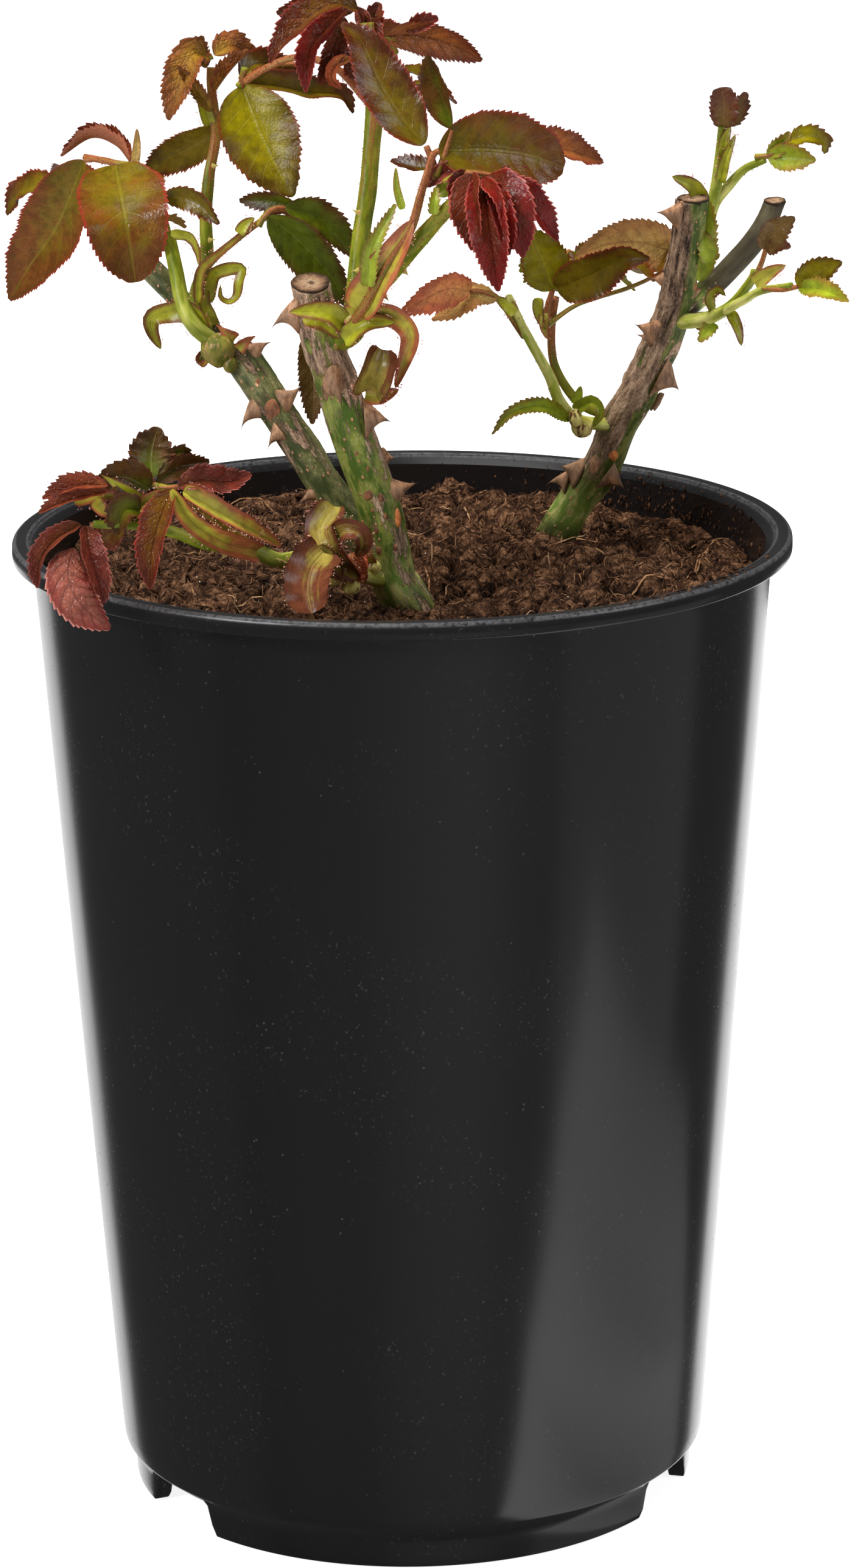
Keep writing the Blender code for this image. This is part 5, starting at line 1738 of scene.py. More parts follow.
# %% The crown in the middle
SPRAYS |= {
    "leaves_top": {
        "long": (BURGUNDY, ((587, 16, -18), (545, 8, -22), (500, 36, -27), (462, 75, -30),
                            (444, 104, -32)), 11, 0.6, dict(fold=20, curl=30, roll=30,
                                                            pucker=0.5)),
        "upper": (BURGUNDY, ((585, 12, -15), (520, 6, -12), (454, 21, -9)), 8, 0.45,
                  dict(fold=25, roll=-30, pucker=0.5)),
        "orange": (SCARLET, ((568, 17, -18), (534, 52, -21), (510, 86, -24), (503, 152, -26)), 8,
                   0.5, dict(fold=30, roll=24)),
        "dark": (BURGUNDY, ((565, 28, -18), (547, 79, -20), (523, 138, -22)), 7, 0.9,
                 dict(fold=30, roll=-20)),
        "bud": (ROSE, ((602, 48, -16), (594, 28, -16), (585, 10, -16)), 6, 0.3,
                dict(fold=40, teeth=0, shape=NARROW)),
        "apex": (BURGUNDY, ((612, 58, -15), (614, 30, -15), (623, 4, -14)), 6.5, 0.7,
                 dict(fold=34)),
        "mass": (BURGUNDY, ((600, 30, -16), (606, 52, -17), (602, 78, -17)), 8, 0.8, dict(fold=24)),
        "wing": (RUST, ((628, 60, -16), (680, 57, -12), (740, 72, -8), (792, 99, -4)), 10,
                 0.3, dict(fold=26, roll=26, pucker=0.5)),
        "tip": (SCARLET, ((668, 52, -14), (692, 38, -13), (720, 30, -12)), 5, 0.3, dict(fold=26)),
        "curled": (ORANGE, ((575, 96, -20), (550, 108, -22), (545, 130, -22), (560, 146, -21)),
                   6, 0.6, dict(fold=40, curl=40)),
        "low": (BURGUNDY, ((604, 74, -17), (586, 100, -19), (590, 138, -20)), 7.5, 0.8,
                dict(fold=26, roll=14)),
        "sprig": (PALE, ((626, 62, -16), (638, 76, -15), (652, 90, -15)), 4.5, 0.4, dict(fold=20)),
        "collar": (STIPULE, ((612, 104, -18), (618, 82, -17), (632, 64, -16)), 5, 0.6,
                   dict(fold=30)),
    },
    "leaves_middle_high": {
        "tall": (PLUM, ((696, 238, -50), (668, 203, -48), (627, 138, -46), (596, 72, -44),
                        (561, 38, -42)), 14.5, 0.58, dict(fold=16, curl=14, roll=8)),
        "narrow": (DARK, ((742, 212, -49), (728, 165, -44), (702, 89, -38)), 11, 0.75,
                   dict(fold=40, curl=20, roll=-24)),
        "large": (OLIVE, ((720, 248, -50), (799, 246, -45), (868, 255, -39), (926, 276, -34)),
                  20, 0.55, dict(fold=10, curl=18, pucker=0.45, shape=ROUND)),
        "back": (RUST, ((850, 262, -34), (910, 245, -24), (991, 266, -8)), 11, 0.35,
                 dict(fold=22, roll=-26)),
        "dark": (PLUM, ((714, 278, -50), (680, 275, -47), (641, 265, -44)), 6, 0.7,
                 dict(fold=30, roll=30)),
        "folded": (ROSE, ((696, 306, -50), (722, 286, -50), (757, 272, -50)), 6, 0.7,
                   dict(fold=40)),
        "behind": (BURGUNDY, ((800, 300, -48), (865, 305, -40), (878, 328, -38)), 9, 0.6,
                   dict(fold=20)),
        "sprig": (PALE, ((716, 322, -52), (732, 310, -51), (751, 302, -50)), 4.5, 0.3,
                  dict(fold=20)),
    },
    "leaves_hanging_red": {
        "left": (SCARLET, ((776, 284, -57), (772, 340, -63), (787, 417, -66)), 10, 0.05,
                 dict(fold=30, roll=28)),
        "long": (SCARLET, ((790, 292, -58), (803, 360, -66), (819, 479, -68)), 12, 0.55,
                 dict(fold=30, roll=10)),
        "right": (SCARLET, ((800, 290, -58), (838, 330, -66), (859, 423, -64)), 11, 0.6,
                  dict(fold=26, roll=-12)),
        "outer": (SCARLET, ((815, 292, -57), (865, 330, -61), (916, 396, -58)), 9.5, 0.7,
                  dict(fold=28, roll=-30)),
        "inner": (SCARLET, ((805, 300, -60), (826, 360, -67), (835, 420, -67)), 8, 0.8,
                  dict(fold=40, roll=-8)),
        "short": (SCARLET, ((770, 282, -56), (752, 305, -58), (748, 340, -60)), 6, 0.3,
                  dict(fold=30)),
    },
    "leaves_orange": {
        "long": (ORANGE, ((772, 478, -8), (735, 474, -15), (690, 495, -20), (655, 518, -22)),
                 9.5, 0.6, dict(fold=18, roll=-28)),
        "under": (TAN, ((818, 489, -3), (780, 480, -6), (745, 505, -12), (709, 526, -14)), 8,
                  0.6, dict(fold=-20, roll=30)),
        "bract": (STIPULE, ((846, 515, -3), (830, 500, -3), (813, 488, -3)), 4, 0.3, {}),
    },
    "leaf_hanging_back": {
        "blade": (BUD, ((503, 548, -30), (514, 615, -30), (513, 697, -30)), 8.4, 0.15,
                  dict(fold=26)),
    },
}

# %% The crown at the right
SPRAYS |= {
    "leaves_right_low": {
        "upright": (GREEN, ((908, 476, 15), (893, 430, 12), (868, 374, 8)), 13.5, 0.1,
                    dict(fold=14)),
        "bright": (PLUM, ((915, 474, 15), (970, 452, 6), (1025, 425, -2), (1068, 424, -6)),
                   13.5, 0.3, dict(fold=26, roll=16)),
        "tan": (TAN, ((1125, 425, 38), (1060, 400, 32), (1000, 402, 26), (946, 420, 20)), 13,
                0.6, dict(fold=14, roll=-8)),
    },
    "leaves_right_top": {
        "right": (PALE, ((1262, 256, 14), (1300, 258, 11), (1341, 263, 7)), 8.0, 0.35,
                  dict(fold=24, roll=14)),
        "dark": (GREEN, ((1294, 233, 12), (1325, 225, 10), (1350, 232, 12), (1356, 252, 14)), 6,
                 0.3, dict(fold=24, roll=-20)),
        "small": (PALE, ((1262, 258, 14), (1284, 236, 13), (1298, 216, 12)), 5, 0.4, dict(fold=30)),
    },
    "leaf_right_bud": {
        "bud": (BUD, ((1186, 210, 22), (1190, 178, 19), (1186, 143, 18)), 7.6, 0.6,
                dict(fold=6, curl=24, shape=(0.45, 0.34), roll=-8)),
        "right": (BUD, ((1192, 207, 23), (1208, 184, 22), (1226, 151, 21)), 5.6, 0.3,
                  dict(fold=10, roll=20)),
        "bract": (STIPULE, ((1193, 262, 21), (1190, 235, 21), (1200, 206, 21)), 4, 0.1,
                  dict(fold=30)),
        "strap": (STIPULE, ((1183, 300, 20), (1192, 262, 20), (1208, 221, 21)), 4, 0.2,
                  dict(fold=36)),
    },
    "leaves_right_upper": {
        "blade": (BUD, ((1256, 410, -8), (1275, 378, -12), (1306, 356, -16)), 8, 0.1,
                  dict(fold=20, roll=16)),
        "low": (BUD, ((1260, 411, -8), (1280, 404, -11), (1300, 406, -14)), 4.5, 0.6,
                dict(fold=24)),
    },
    "leaves_right_side": {
        "upper": (GREEN, ((1310, 469, -31), (1345, 445, -35), (1384, 430, -40)), 8, 0.4,
                  dict(fold=20, roll=10)),
        "lower": (PALE, ((1314, 472, -31), (1355, 478, -40), (1395, 496, -50)), 6, 0.4,
                  dict(fold=28)),
        "bract": (PINK_STIPULE, ((1240, 466, -10), (1266, 448, -12), (1291, 436, -14)), 5, 0.3,
                  dict(fold=24)),
    },
}

# %% The low leaves in front
SPRAYS |= {
    "leaves_front_left": {
        "upright": (DARK, ((249, 785, -76), (247, 745, -72), (259, 701, -70)), 12.0, 0.68,
                    dict(fold=14, roll=12)),
        "left": (DARK, ((246, 802, -77), (205, 783, -80), (156, 789, -83)), 10.5, 0.85,
                 dict(fold=20, roll=-14)),
        "right": (DARK, ((257, 795, -76), (290, 768, -72), (344, 757, -67)), 6.5, 0.95,
                  dict(fold=28, roll=12)),
        "curl": (DARK, ((272, 752, -72), (297, 742, -70), (314, 750, -68)), 4, 0.7, dict(fold=40)),
        "red": (MAROON, ((290, 800, -77), (330, 790, -73), (375, 792, -69), (413, 779, -66)),
                8.5, 0.8, dict(fold=30, roll=-10, pucker=0.6, wave=0.9)),
        "hanging": (BURGUNDY, ((282, 806, -79), (265, 850, -86), (250, 910, -90),
                               (247, 968, -90)), 9.6, 0.55, dict(fold=30, roll=22)),
        "low_strap": (PINK_STIPULE, ((300, 808, -78), (378, 853, -74), (421, 876, -68),
                                     (461, 898, -60)), 7, 0.45, dict(fold=30, roll=-26)),
        "high_strap": (PINK_STIPULE, ((282, 804, -84), (312, 853, -84), (360, 886, -78),
                                      (421, 906, -70)), 9, 0.55,
                       dict(shape=(0.34, 0.14), fold=30, curl=40, roll=6)),
    },
    "leaves_front_low": {
        "left": (MAROON, ((133, 862, -85), (91, 888, -88), (67, 921, -87), (62, 966, -84)), 7.5,
                 0.6, dict(fold=46, roll=20, pucker=0.5)),
        "hanging": (ROSE, ((121, 900, -88), (112, 945, -93), (132, 992, -95),
                           (181, 1034, -93)), 12, 0.45, dict(fold=-12, curl=-16, roll=-6,
                                                            pucker=1.1)),
        "crimson": (MAROON, ((140, 864, -84), (146, 905, -89), (158, 948, -90),
                             (171, 992, -88)), 8, 0.9, dict(fold=34, roll=-26, pucker=0.5)),
        "upper": (RUST, ((178, 798, -84), (124, 797, -82), (70, 820, -78)),
                  6.5, 0.85, dict(fold=40, roll=20, pucker=0.5)),
        "second": (RUST, ((180, 808, -84), (114, 822, -83), (64, 843, -79)),
                   6.5, 0.9, dict(fold=44, roll=24, pucker=0.5)),
        "tip": (STIPULE, ((232, 832, -80), (195, 800, -82), (163, 778, -83)), 6, 0.3,
                dict(shape=HORN, fold=24)),
        "ribbon": (PINK_STIPULE, ((122, 823, -82), (165, 814, -82), (215, 822, -82)), 4, 0.6, {}),
        "tail": (PINK_STIPULE, ((156, 823, -83), (170, 838, -84), (191, 849, -84)), 4, 0.5, {}),
        "folded": (DARK, ((232, 840, -82), (205, 840, -84), (193, 878, -84)), 9, 0.6,
                   dict(fold=36, roll=16)),
        "dark": (PLUM, ((205, 862, -78), (180, 880, -74), (168, 900, -72)), 8, 0.6, dict(fold=20)),
        "sheath": (PINK_STIPULE, ((270, 812, -80), (240, 826, -81), (200, 850, -82),
                                  (160, 862, -84)), 5, 0.5, dict(fold=36)),
    },
    "leaf_right_strap": {
        "blade": (PALE, ((935, 690, 14), (890, 667, 6), (840, 678, 0), (808, 714, -3)), 5, 0.3,
                  dict(fold=34)),
        "curl": (PALE, ((944, 674, 14), (972, 660, 12), (986, 678, 11), (974, 701, 12)), 4.5,
                 0.2, dict(fold=34, teeth=0, shape=STRAP)),
        "sliver": (PALE, ((944, 664, 15), (950, 650, 15), (954, 634, 15)), 3, 0.2,
                   dict(shape=STRAP, teeth=0)),
    },
}
LEAF_SLOTS = {"leaves_top": "red_leaf", "leaves_hanging_red": "red_leaf",
              "leaves_orange": "red_leaf", "leaves_front_left": "red_leaf",
              "leaves_front_low": "red_leaf"}

# %% [markdown]
# Where no eye reaches from the front, leaves follow a rule. A rose leaf is a stalk with a leaflet
# at its end and others in pairs along it. Each pair stands off sideways and a little forward, and
# is smaller the nearer it is to the foot. A seeded generator varies the lengths and the droop.


# %% Leaves by rule
SKY = np.array([0.0, 0.0, 1.0])
DROOP = 0.18                # how far a stalk sags, as a share of its length


def compound(spray, stalks, finish, foot, tip, length, pairs, chance, tint):
    """A whole leaf from `foot` to `tip`, both places in mm. `length` is the end leaflet's. The
    stalk sags by DROOP of its length in the middle. Pair i of n, from 0, leaves the stalk at
    0.42 + 0.5 (i + 1) / n of it, and is about 0.66 + 0.2 i / n as long as the end one."""
    foot, tip = np.asarray(foot, float), np.asarray(tip, float)
    reach = tip - foot
    rise = SKY * DROOP * np.linalg.norm(reach)
    stalk_end = tip - unit(reach + rise * 0.2) * length
    stalk = path_through([foot, (foot + stalk_end) / 2.0 + rise * 0.8, stalk_end], 24)
    stalks.append((stalk, 0.75, 0.45))
    along = unit(stalk_end - stalk[-4])
    spray.leaf(finish, [stalk_end, stalk_end + along * length * 0.5 + rise * 0.12, tip],
               length * 0.56, tint, face=SKY, placed=True, fold=16, roll=chance.normal(0, 12))
    side = unit(np.cross(along, SKY))
    for index in range(pairs):
        share = 0.42 + 0.5 * (index + 1) / pairs
        base = stalk[int(share * 23)]
        long = length * (0.66 + 0.2 * index / pairs) * chance.uniform(0.85, 1.1)
        for way in (-1.0, 1.0):
            direction = unit(side * way + along * chance.uniform(0.25, 0.55)
                             - SKY * chance.uniform(0.0, 0.35))
            start = base + side * way * 0.6
            points = [start, start + direction * long * 0.5 + SKY * long * 0.07,
                      start + direction * long - SKY * long * chance.uniform(0.02, 0.16)]
            spray.leaf(finish, points, long * chance.uniform(0.5, 0.6),
                       tint + chance.normal(0, 0.15), face=SKY, placed=True, fold=14,
                       roll=chance.normal(0, 14))


# Leaves by rule that belong to a spray: finish, foot, tip, end leaflet's length, pairs, tint.
HIDDEN = {
    "leaves_right_low": ((GREEN, (43, 18, 330), (54, 66, 335), 24, 2, 0.4),
                         (OLIVE, (42, 17, 330), (76, 38, 341), 20, 1, 0.5)),
    "leaves_green": ((GREEN, (-41, -2, 391), (-35, 38, 368), 14, 1, 0.4),),
}
# Leaves by rule that grow from the back of a limb: finish, the limb, how far along it, tip.
AT_THE_BACK = (
    (OLIVE, "stalk_left", 0.20, (-68, 42, 345), 15, 1, 0.6),
    (PLUM, "shoot_middle_tall", 0.80, (10, 26, 385), 18, 2, 0.6),
    (BURGUNDY, "shoot_middle_tall", 0.97, (-2, 12, 404), 15, 1, 0.6),
    (BURGUNDY, "shoot_middle_front", 0.97, (27, 12, 354), 18, 1, 0.6),
    (OLIVE, "stalk_left", 0.55, (-84, 48, 350), 17, 1, 0.6),
)
# Three leaflets behind the left stub: finish, midrib in mm, width.
BACK_LEFT = (
    (OLIVE, ((-71, 19, 344), (-80, 44, 350), (-92, 72, 340)), 15.0),
    (GREEN, ((-71, 20, 345), (-70, 42, 357), (-74, 63, 353)), 13.0),
    (PLUM, ((-72, 20, 345), (-86, 34, 360), (-95, 50, 358)), 11.0),
)
stalks = []                # path, radius at the foot and at the end
GROWTH = np.random.default_rng(19)
fringed = []               # the margins of stipules, for their hairs

for spray_name, leaves in SPRAYS.items():
    spray = Spray()
    for finish, points, width, tint, how in leaves.values():
        bract = finish in (STIPULE, PINK_STIPULE)
        how = {"shape": STRAP, "teeth": 0, **how} if bract else how
        made = spray.leaf(finish, points, width, tint, **how)
        if bract:
            fringed.append(made["margin"])
    for finish, foot, tip, length, pairs, tint in HIDDEN.get(spray_name, ()):
        compound(spray, stalks, finish, foot, tip, length, pairs, GROWTH, tint)
    spray.put(spray_name, LEAF_SLOTS.get(spray_name, "olive_leaf"), [spray_name])

spray = Spray()
for finish, points, width in BACK_LEFT:
    spray.leaf(finish, points, width, 0.5, face=(0.0, 0.3, 1.0), placed=True, fold=12)
spray.put("leaves_back_left", "olive_leaf", ["leaves_back_left"])
for index, (finish, limb, share, tip, length, pairs, tint) in enumerate(AT_THE_BACK):
    spray = Spray()
    path, radii = LIMBS[limb]
    compound(spray, stalks, finish, path[int(share * (len(path) - 1))], tip, length, pairs,
             GROWTH, tint)
    spray.put(f"leaves_behind_{index + 1}", "olive_leaf")

# %% [markdown]
# ## Stipules at the knobs and the base
# Where shoots break from old wood, they are wrapped in small curled straps, some green, some dry
# and brown. They are narrow blades without teeth.

# %% Straps and curls
STRAPS = {
    "straps_left": {
        "ring": (STIPULE, ((341, 497, -10), (348, 455, -12), (372, 441, -14), (398, 442, -15),
                           (394, 463, -16), (390, 486, -16), (377, 497, -16), (362, 489, -16),
                           (362, 469, -15)), 4.2, 0.4, dict(roll=30)),
        "hook": (STIPULE, ((281, 382, -12), (311, 388, -12), (325, 410, -13),
                           (328, 438, -13)), 3.5, 0.4, dict(roll=40)),
        "horn": (STIPULE, ((334, 548, -16), (309, 514, -16), (275, 514, -15), (250, 522, -15),
                           (250, 545, -14), (264, 573, -14)), 6.5, 0.35, dict(roll=-10)),
        "winged": (STIPULE, ((325, 497, -14), (330, 446, -14), (365, 413, -17),
                             (393, 388, -20), (414, 362, -23)), 3.2, 0.7, dict(fold=30)),
        "wing": (STIPULE, ((353, 542, -12), (334, 500, -12), (334, 446, -10)), 4.5, 0.3,
                 dict(fold=24, roll=30)),
        "triangle": (PINK_STIPULE, ((386, 558, -18), (370, 546, -19), (356, 534, -19)), 4, 0.8,
                     dict(shape=HORN)),
        "brown_ring": (PINK_STIPULE, ((345, 590, -18), (334, 602, -18), (323, 590, -17),
                                      (330, 576, -16)), 3, 0.8, dict(roll=60)),
        "crest": (PINK_STIPULE, ((390, 573, -20), (404, 560, -20), (420, 552, -19)), 4, 0.8,
                  dict(shape=HORN, roll=30)),
    },
    "straps_middle": {
        "green_left": (STIPULE, ((568, 535, -44), (540, 515, -46), (476, 513, -47)), 6.5, 0.3,
                       dict(fold=20, roll=10)),
        "green_right": (STIPULE, ((566, 560, -46), (600, 535, -48), (650, 530, -49)), 6.5, 0.3,
                        dict(fold=20, roll=-20)),
        "arch": (PINK_STIPULE, ((566, 517, -44), (607, 514, -46), (646, 519, -47),
                                (671, 541, -48), (675, 564, -47), (666, 594, -46),
                                (650, 637, -44)), 7, 0.6, dict(fold=24, roll=16)),
        "shell": (BRONZE, ((606, 642, -43), (618, 608, -49), (628, 574, -47)), 13, 0.45,
                  dict(shape=(0.18, 0.20), fold=20, curl=50, roll=10)),
        "under": (PINK_STIPULE, ((600, 650, -44), (625, 652, -45), (655, 640, -46)), 5, 0.6,
                  dict(fold=20)),
        "tall": (PINK_STIPULE, ((590, 510, -47), (620, 460, -51), (655, 405, -54),
                                (678, 362, -55)), 11, 0.45, dict(fold=22, roll=-10)),
        "thin": (PALE, ((604, 470, -52), (612, 410, -53), (650, 335, -52)), 4.5, 0.2,
                 dict(fold=26)),
        "needle": (PALE, ((661, 344, -54), (652, 310, -53), (650, 275, -52)), 2.6, 0.3,
                   dict(fold=26, teeth=0)),
        "splinter": (PALE, ((712, 352, -55), (714, 330, -55), (717, 308, -54)), 3, 0.3,
                     dict(fold=26)),
        "bridge": (STIPULE, ((500, 520, -44), (530, 530, -45), (560, 556, -45)), 5, 0.4,
                   dict(fold=10)),
    },
    "straps_right": {
        "left": (STIPULE, ((884, 489, 14), (884, 512, 14), (891, 538, 14)), 3.5, 0.3,
                 dict(fold=20)),
        "second": (PINK_STIPULE, ((895, 514, 14), (893, 535, 14), (899, 557, 14)), 3, 0.4,
                   dict(fold=20)),
        "shoulder": (STIPULE, ((1153, 330, 16), (1135, 305, 14), (1104, 290, 12)), 5.5, 0.2,
                     dict(fold=24)),
        "broad": (PALE, ((1150, 462, 14), (1152, 400, 13), (1165, 330, 15)), 9, 0.1,
                  dict(fold=20, shape=LEAF)),
        "beside": (PALE, ((1168, 430, 12), (1160, 404, 12), (1150, 380, 13)), 5.5, 0.2,
                   dict(fold=20)),
        "droop": (PALE, ((1172, 530, 6), (1160, 546, 4), (1148, 562, 2)), 4, 0.3, dict(fold=20)),
        "hang": (STIPULE, ((1200, 514, 2), (1212, 540, -1), (1218, 568, -3)), 4, 0.4,
                 dict(fold=30)),
        "curl": (STIPULE, ((1168, 511, 6), (1164, 488, 5), (1180, 474, 4), (1192, 486, 3)), 4,
                 0.4, dict(roll=40)),
    },
    "straps_base": {
        "first": (BRONZE, ((549, 832, -50), (528, 868, -56), (538, 900, -60), (562, 930, -58),
                           (592, 955, -54)), 9.5, 0.62, dict(fold=16, curl=34, roll=10)),
        "ring": (BRONZE, ((548, 886, -57), (566, 872, -61), (590, 876, -62), (597, 896, -61),
                          (586, 914, -58)), 6.5, 0.75, dict(fold=16, curl=24, roll=-10)),
        "band": (BRONZE, ((532, 908, -62), (512, 934, -68), (506, 968, -73),
                          (512, 1008, -78)), 14.0, 0.84, dict(fold=14, curl=36, roll=4,
                                                            shape=(0.14, 0.14))),
        "third": (BRONZE, ((515, 905, -60), (540, 925, -60), (560, 950, -58)), 7, 0.3,
                  dict(fold=24)),
        "inside": (ORANGE, ((580, 915, -56), (590, 938, -55), (600, 956, -53)), 5, 0.9,
                   dict(teeth=0, fold=10)),
        "orange": (ORANGE, ((580, 908, -52), (588, 932, -54), (580, 958, -55)), 6.5, 0.8,
                   dict(fold=20, shape=STRAP, teeth=0)),
        "scale": (PINK_STIPULE, ((609, 925, -50), (608, 915, -51), (609, 904, -51)), 3.5, 0.7,
                  dict(fold=10, shape=HORN)),
        "collar": (STIPULE, ((540, 912, -52), (520, 920, -56), (486, 928, -60)), 7, 0.4,
                   dict(fold=24, roll=-20)),
    },
}
for strap_name, straps in STRAPS.items():
    spray = Spray()
    for finish, points, width, tint, how in straps.values():
        toothed = finish == PALE
        how = {"shape": STRAP, "teeth": None if toothed else 0, "pucker": 0.1, **how}
        made = spray.leaf(finish, points, width, tint, **how)
        if not toothed:
            fringed.append(made["margin"])
    spray.put(strap_name, "green_shoot")

# %% [markdown]
# ## Leaf stalks, hairs and glands
# Thin reddish stalks join leaflets to their shoots. The margins of stipules carry hairs that end
# in tiny beads.

# %% Leaf stalks
# name: midline as seen, radius at the foot and at the end
LEAF_STALKS = {
    "left_pair": (((215, 272, 12), (190, 268, 14), (165, 262, 17), (139, 264, 19)), 0.9, 0.7),
    "left_top": (((346, 98, 3), (344, 92, 3), (338, 90, 3)), 0.8, 0.6),
    "green": (((392, 141, -3), (410, 122, 2), (441, 111, 5), (475, 106, 7), (508, 109, 8)), 0.9,
              0.6),
    "green_foot": (((402, 112, -4), (398, 130, -3), (397, 143, -2)), 0.9, 0.8),
    "middle_pair": (((425, 372, -24), (432, 359, -24), (445, 346, -24), (462, 341, -23),
                     (480, 345, -22)), 0.9, 0.6),
    "orange": (((860, 553, 6), (838, 520, 0), (815, 488, -3), (790, 479, -6),
                (772, 478, -8)), 0.9, 0.6),
    "right_low": (((893, 540, 14), (898, 510, 15), (908, 476, 15)), 0.9, 0.8),
    "right_tan": (((893, 540, 14), (950, 500, 20), (1040, 470, 30), (1125, 428, 38)), 0.7, 0.6),
    "right_top": (((1240, 258, 15), (1262, 256, 14), (1280, 245, 13), (1294, 233, 12)), 0.9,
                  0.6),
    "right_upper": (((1222, 480, -2), (1236, 463, -4), (1250, 435, -6), (1259, 407, -8)), 0.9,
                    0.7),
    "right_side": (((1255, 474, -20), (1285, 476, -27), (1312, 471, -31)), 0.9, 0.7),
    "front_low": (((240, 840, -82), (228, 858, -82), (191, 858, -83), (148, 864, -84)), 1.1,
                  0.8),
    "front_left": (((262, 800, -77), (250, 795, -76), (249, 785, -76)), 0.9, 0.7),
    "front_right": (((262, 800, -77), (276, 802, -78), (292, 800, -77)), 0.9, 0.7),
    "high": (((716, 300, -50), (712, 270, -50), (700, 240, -50)), 1.0, 0.8),
    "high_right": (((716, 290, -51), (730, 255, -50), (742, 214, -49)), 0.9, 0.6),
    "hanging": (((730, 300, -54), (752, 288, -55), (776, 284, -57), (815, 290, -57)), 0.9, 0.7),
    "large": (((705, 262, -50), (714, 252, -50), (722, 248, -50)), 0.9, 0.8),
}
for seen, foot, end in LEAF_STALKS.values():
    mid = at(seen)
    count = max(8, int(length_of(mid)[-1] / 0.8))
    stalks.append((path_through(mid, count), foot, end))

stalk_heap = Heap()
for path, foot, end in stalks:
    radii = np.linspace(foot, end, len(path))
    places, faces, straightened, share = tube(path, radii, 10, stem_relief)
    stalk_heap.add(places, faces, {"straight": straightened, "red": 0.35 + 0.5 * share})
    count = int(length_of(path)[-1] * 1.6)
    row = GROWTH.integers(1, len(path) - 1, count)
    ways, _ = ways_out(path, row, GROWTH)
    bristles[True].add(*spikes(path[row] + ways * radii[row][:, None] * 0.9, ways,
                               0.35 + 0.5 * GROWTH.random(count),
                               0.08 + 0.04 * GROWTH.random(count)))
stalk_heap.put("leaf_stalks", STEM_SKIN, "green_shoot", crease=0)

# %% Hairs and beads on the stipules
HAIR_GAP = 0.9          # mm between hairs along a margin
BEAD_RADIUS = 0.17
EIGHT = np.array([(2, 0, 4, 4), (0, 3, 4, 4), (3, 1, 4, 4), (1, 2, 4, 4), (0, 2, 5, 5),
                  (3, 0, 5, 5), (1, 3, 5, 5), (2, 1, 5, 5)])
SIX_WAYS = np.array([(1, 0, 0), (-1, 0, 0), (0, 1, 0), (0, -1, 0), (0, 0, 1), (0, 0, -1)], float)


def fringe(hairs, beads, margins, chance):
    """A hair at every HAIR_GAP along each margin, with an eight-sided bead at its tip."""
    for places, ways in margins:
        for edge in (0, 1):
            line = places[:, edge]
            walked = length_of(line)
            count = max(2, int(walked[-1] / HAIR_GAP))
            row = np.searchsorted(walked, np.sort(chance.random(count)) * walked[-1] * 0.98)
            row = np.clip(row, 1, len(line) - 1)
            way = unit(ways[row, edge] + 0.35 * chance.normal(size=(count, 3)))
            lengths = 0.45 + 0.5 * chance.random(count)
            feet = line[row] - way * 0.1
            hairs.add(*spikes(feet, way, lengths, np.full(count, 0.075), (0.0, 0.0, 0.0)))
            centres = feet + way * (lengths + BEAD_RADIUS * 0.4)[:, None]
            shape = centres[:, None] + SIX_WAYS * BEAD_RADIUS * (
                0.8 + 0.5 * chance.random((count, 1, 1)))
            beads.add(shape.reshape(-1, 3), copied(EIGHT, count))


beads = Heap()
fringe(bristles[True], beads, fringed, np.random.default_rng(23))
beads.put("stipule_beads", plain("bead", (226, 190, 170), (176, 96, 76), 900.0, 0.3),
          "green_shoot", crease=0)
bristles[True].put("bristles_red", plain("bristle_red", (150, 60, 48), (186, 104, 70),
                                         600.0, 0.45), "green_shoot", crease=0)
bristles[False].put("bristles_pale", plain("bristle_pale", (176, 160, 110), (150, 140, 70),
                                           600.0, 0.45), "green_shoot", crease=0)

# %% [markdown]
# ## The studio
# A pale floor runs out past the view and glows a little, as a light table does, so that the pot
# stands against white. The black wall mirrors what stands round it, and that is set up by itself:
# white panels behind it make the bright strips at its sides, and a dim one at the right lifts that
# half. A glowing sheet beside the pot makes the soft patch, and another stands in front. All of
# them are below the level of the floor, so they light nothing else. The small panels above give
# the leaves their highlights.

# %% Floor, lights and camera
FLOOR_HALF = 12.0       # m
FLOOR_LEVEL = -0.0002
FLOOR_GLOW = 0.88


def floor():
    """One flat square, a hair below the feet. Mirrors don't see it."""
    mesh = bpy.data.meshes.new("floor")
    corners = [(x * FLOOR_HALF, y * FLOOR_HALF, FLOOR_LEVEL)
               for x, y in ((-1, -1), (1, -1), (1, 1), (-1, 1))]
    mesh.from_pydata(corners, [], [(0, 1, 2, 3)])
    make = Finish("floor_paint")
    mesh.materials.append(make.done(
        base_color=(0.80, 0.80, 0.80, 1.0), roughness=0.8, specular_ior_level=0.0,
        emission_color=(1.0, 1.0, 1.0, 1.0), emission_strength=FLOOR_GLOW))
    made = add_object("floor", mesh)
    made.visible_glossy = False


def frame_of(side, up, back, place):
    """The matrix that puts an object's X, Y and Z along three directions, at a place."""
    return Matrix([(*row, spot) for *row, spot in zip(side, up, back, place)]).to_4x4()


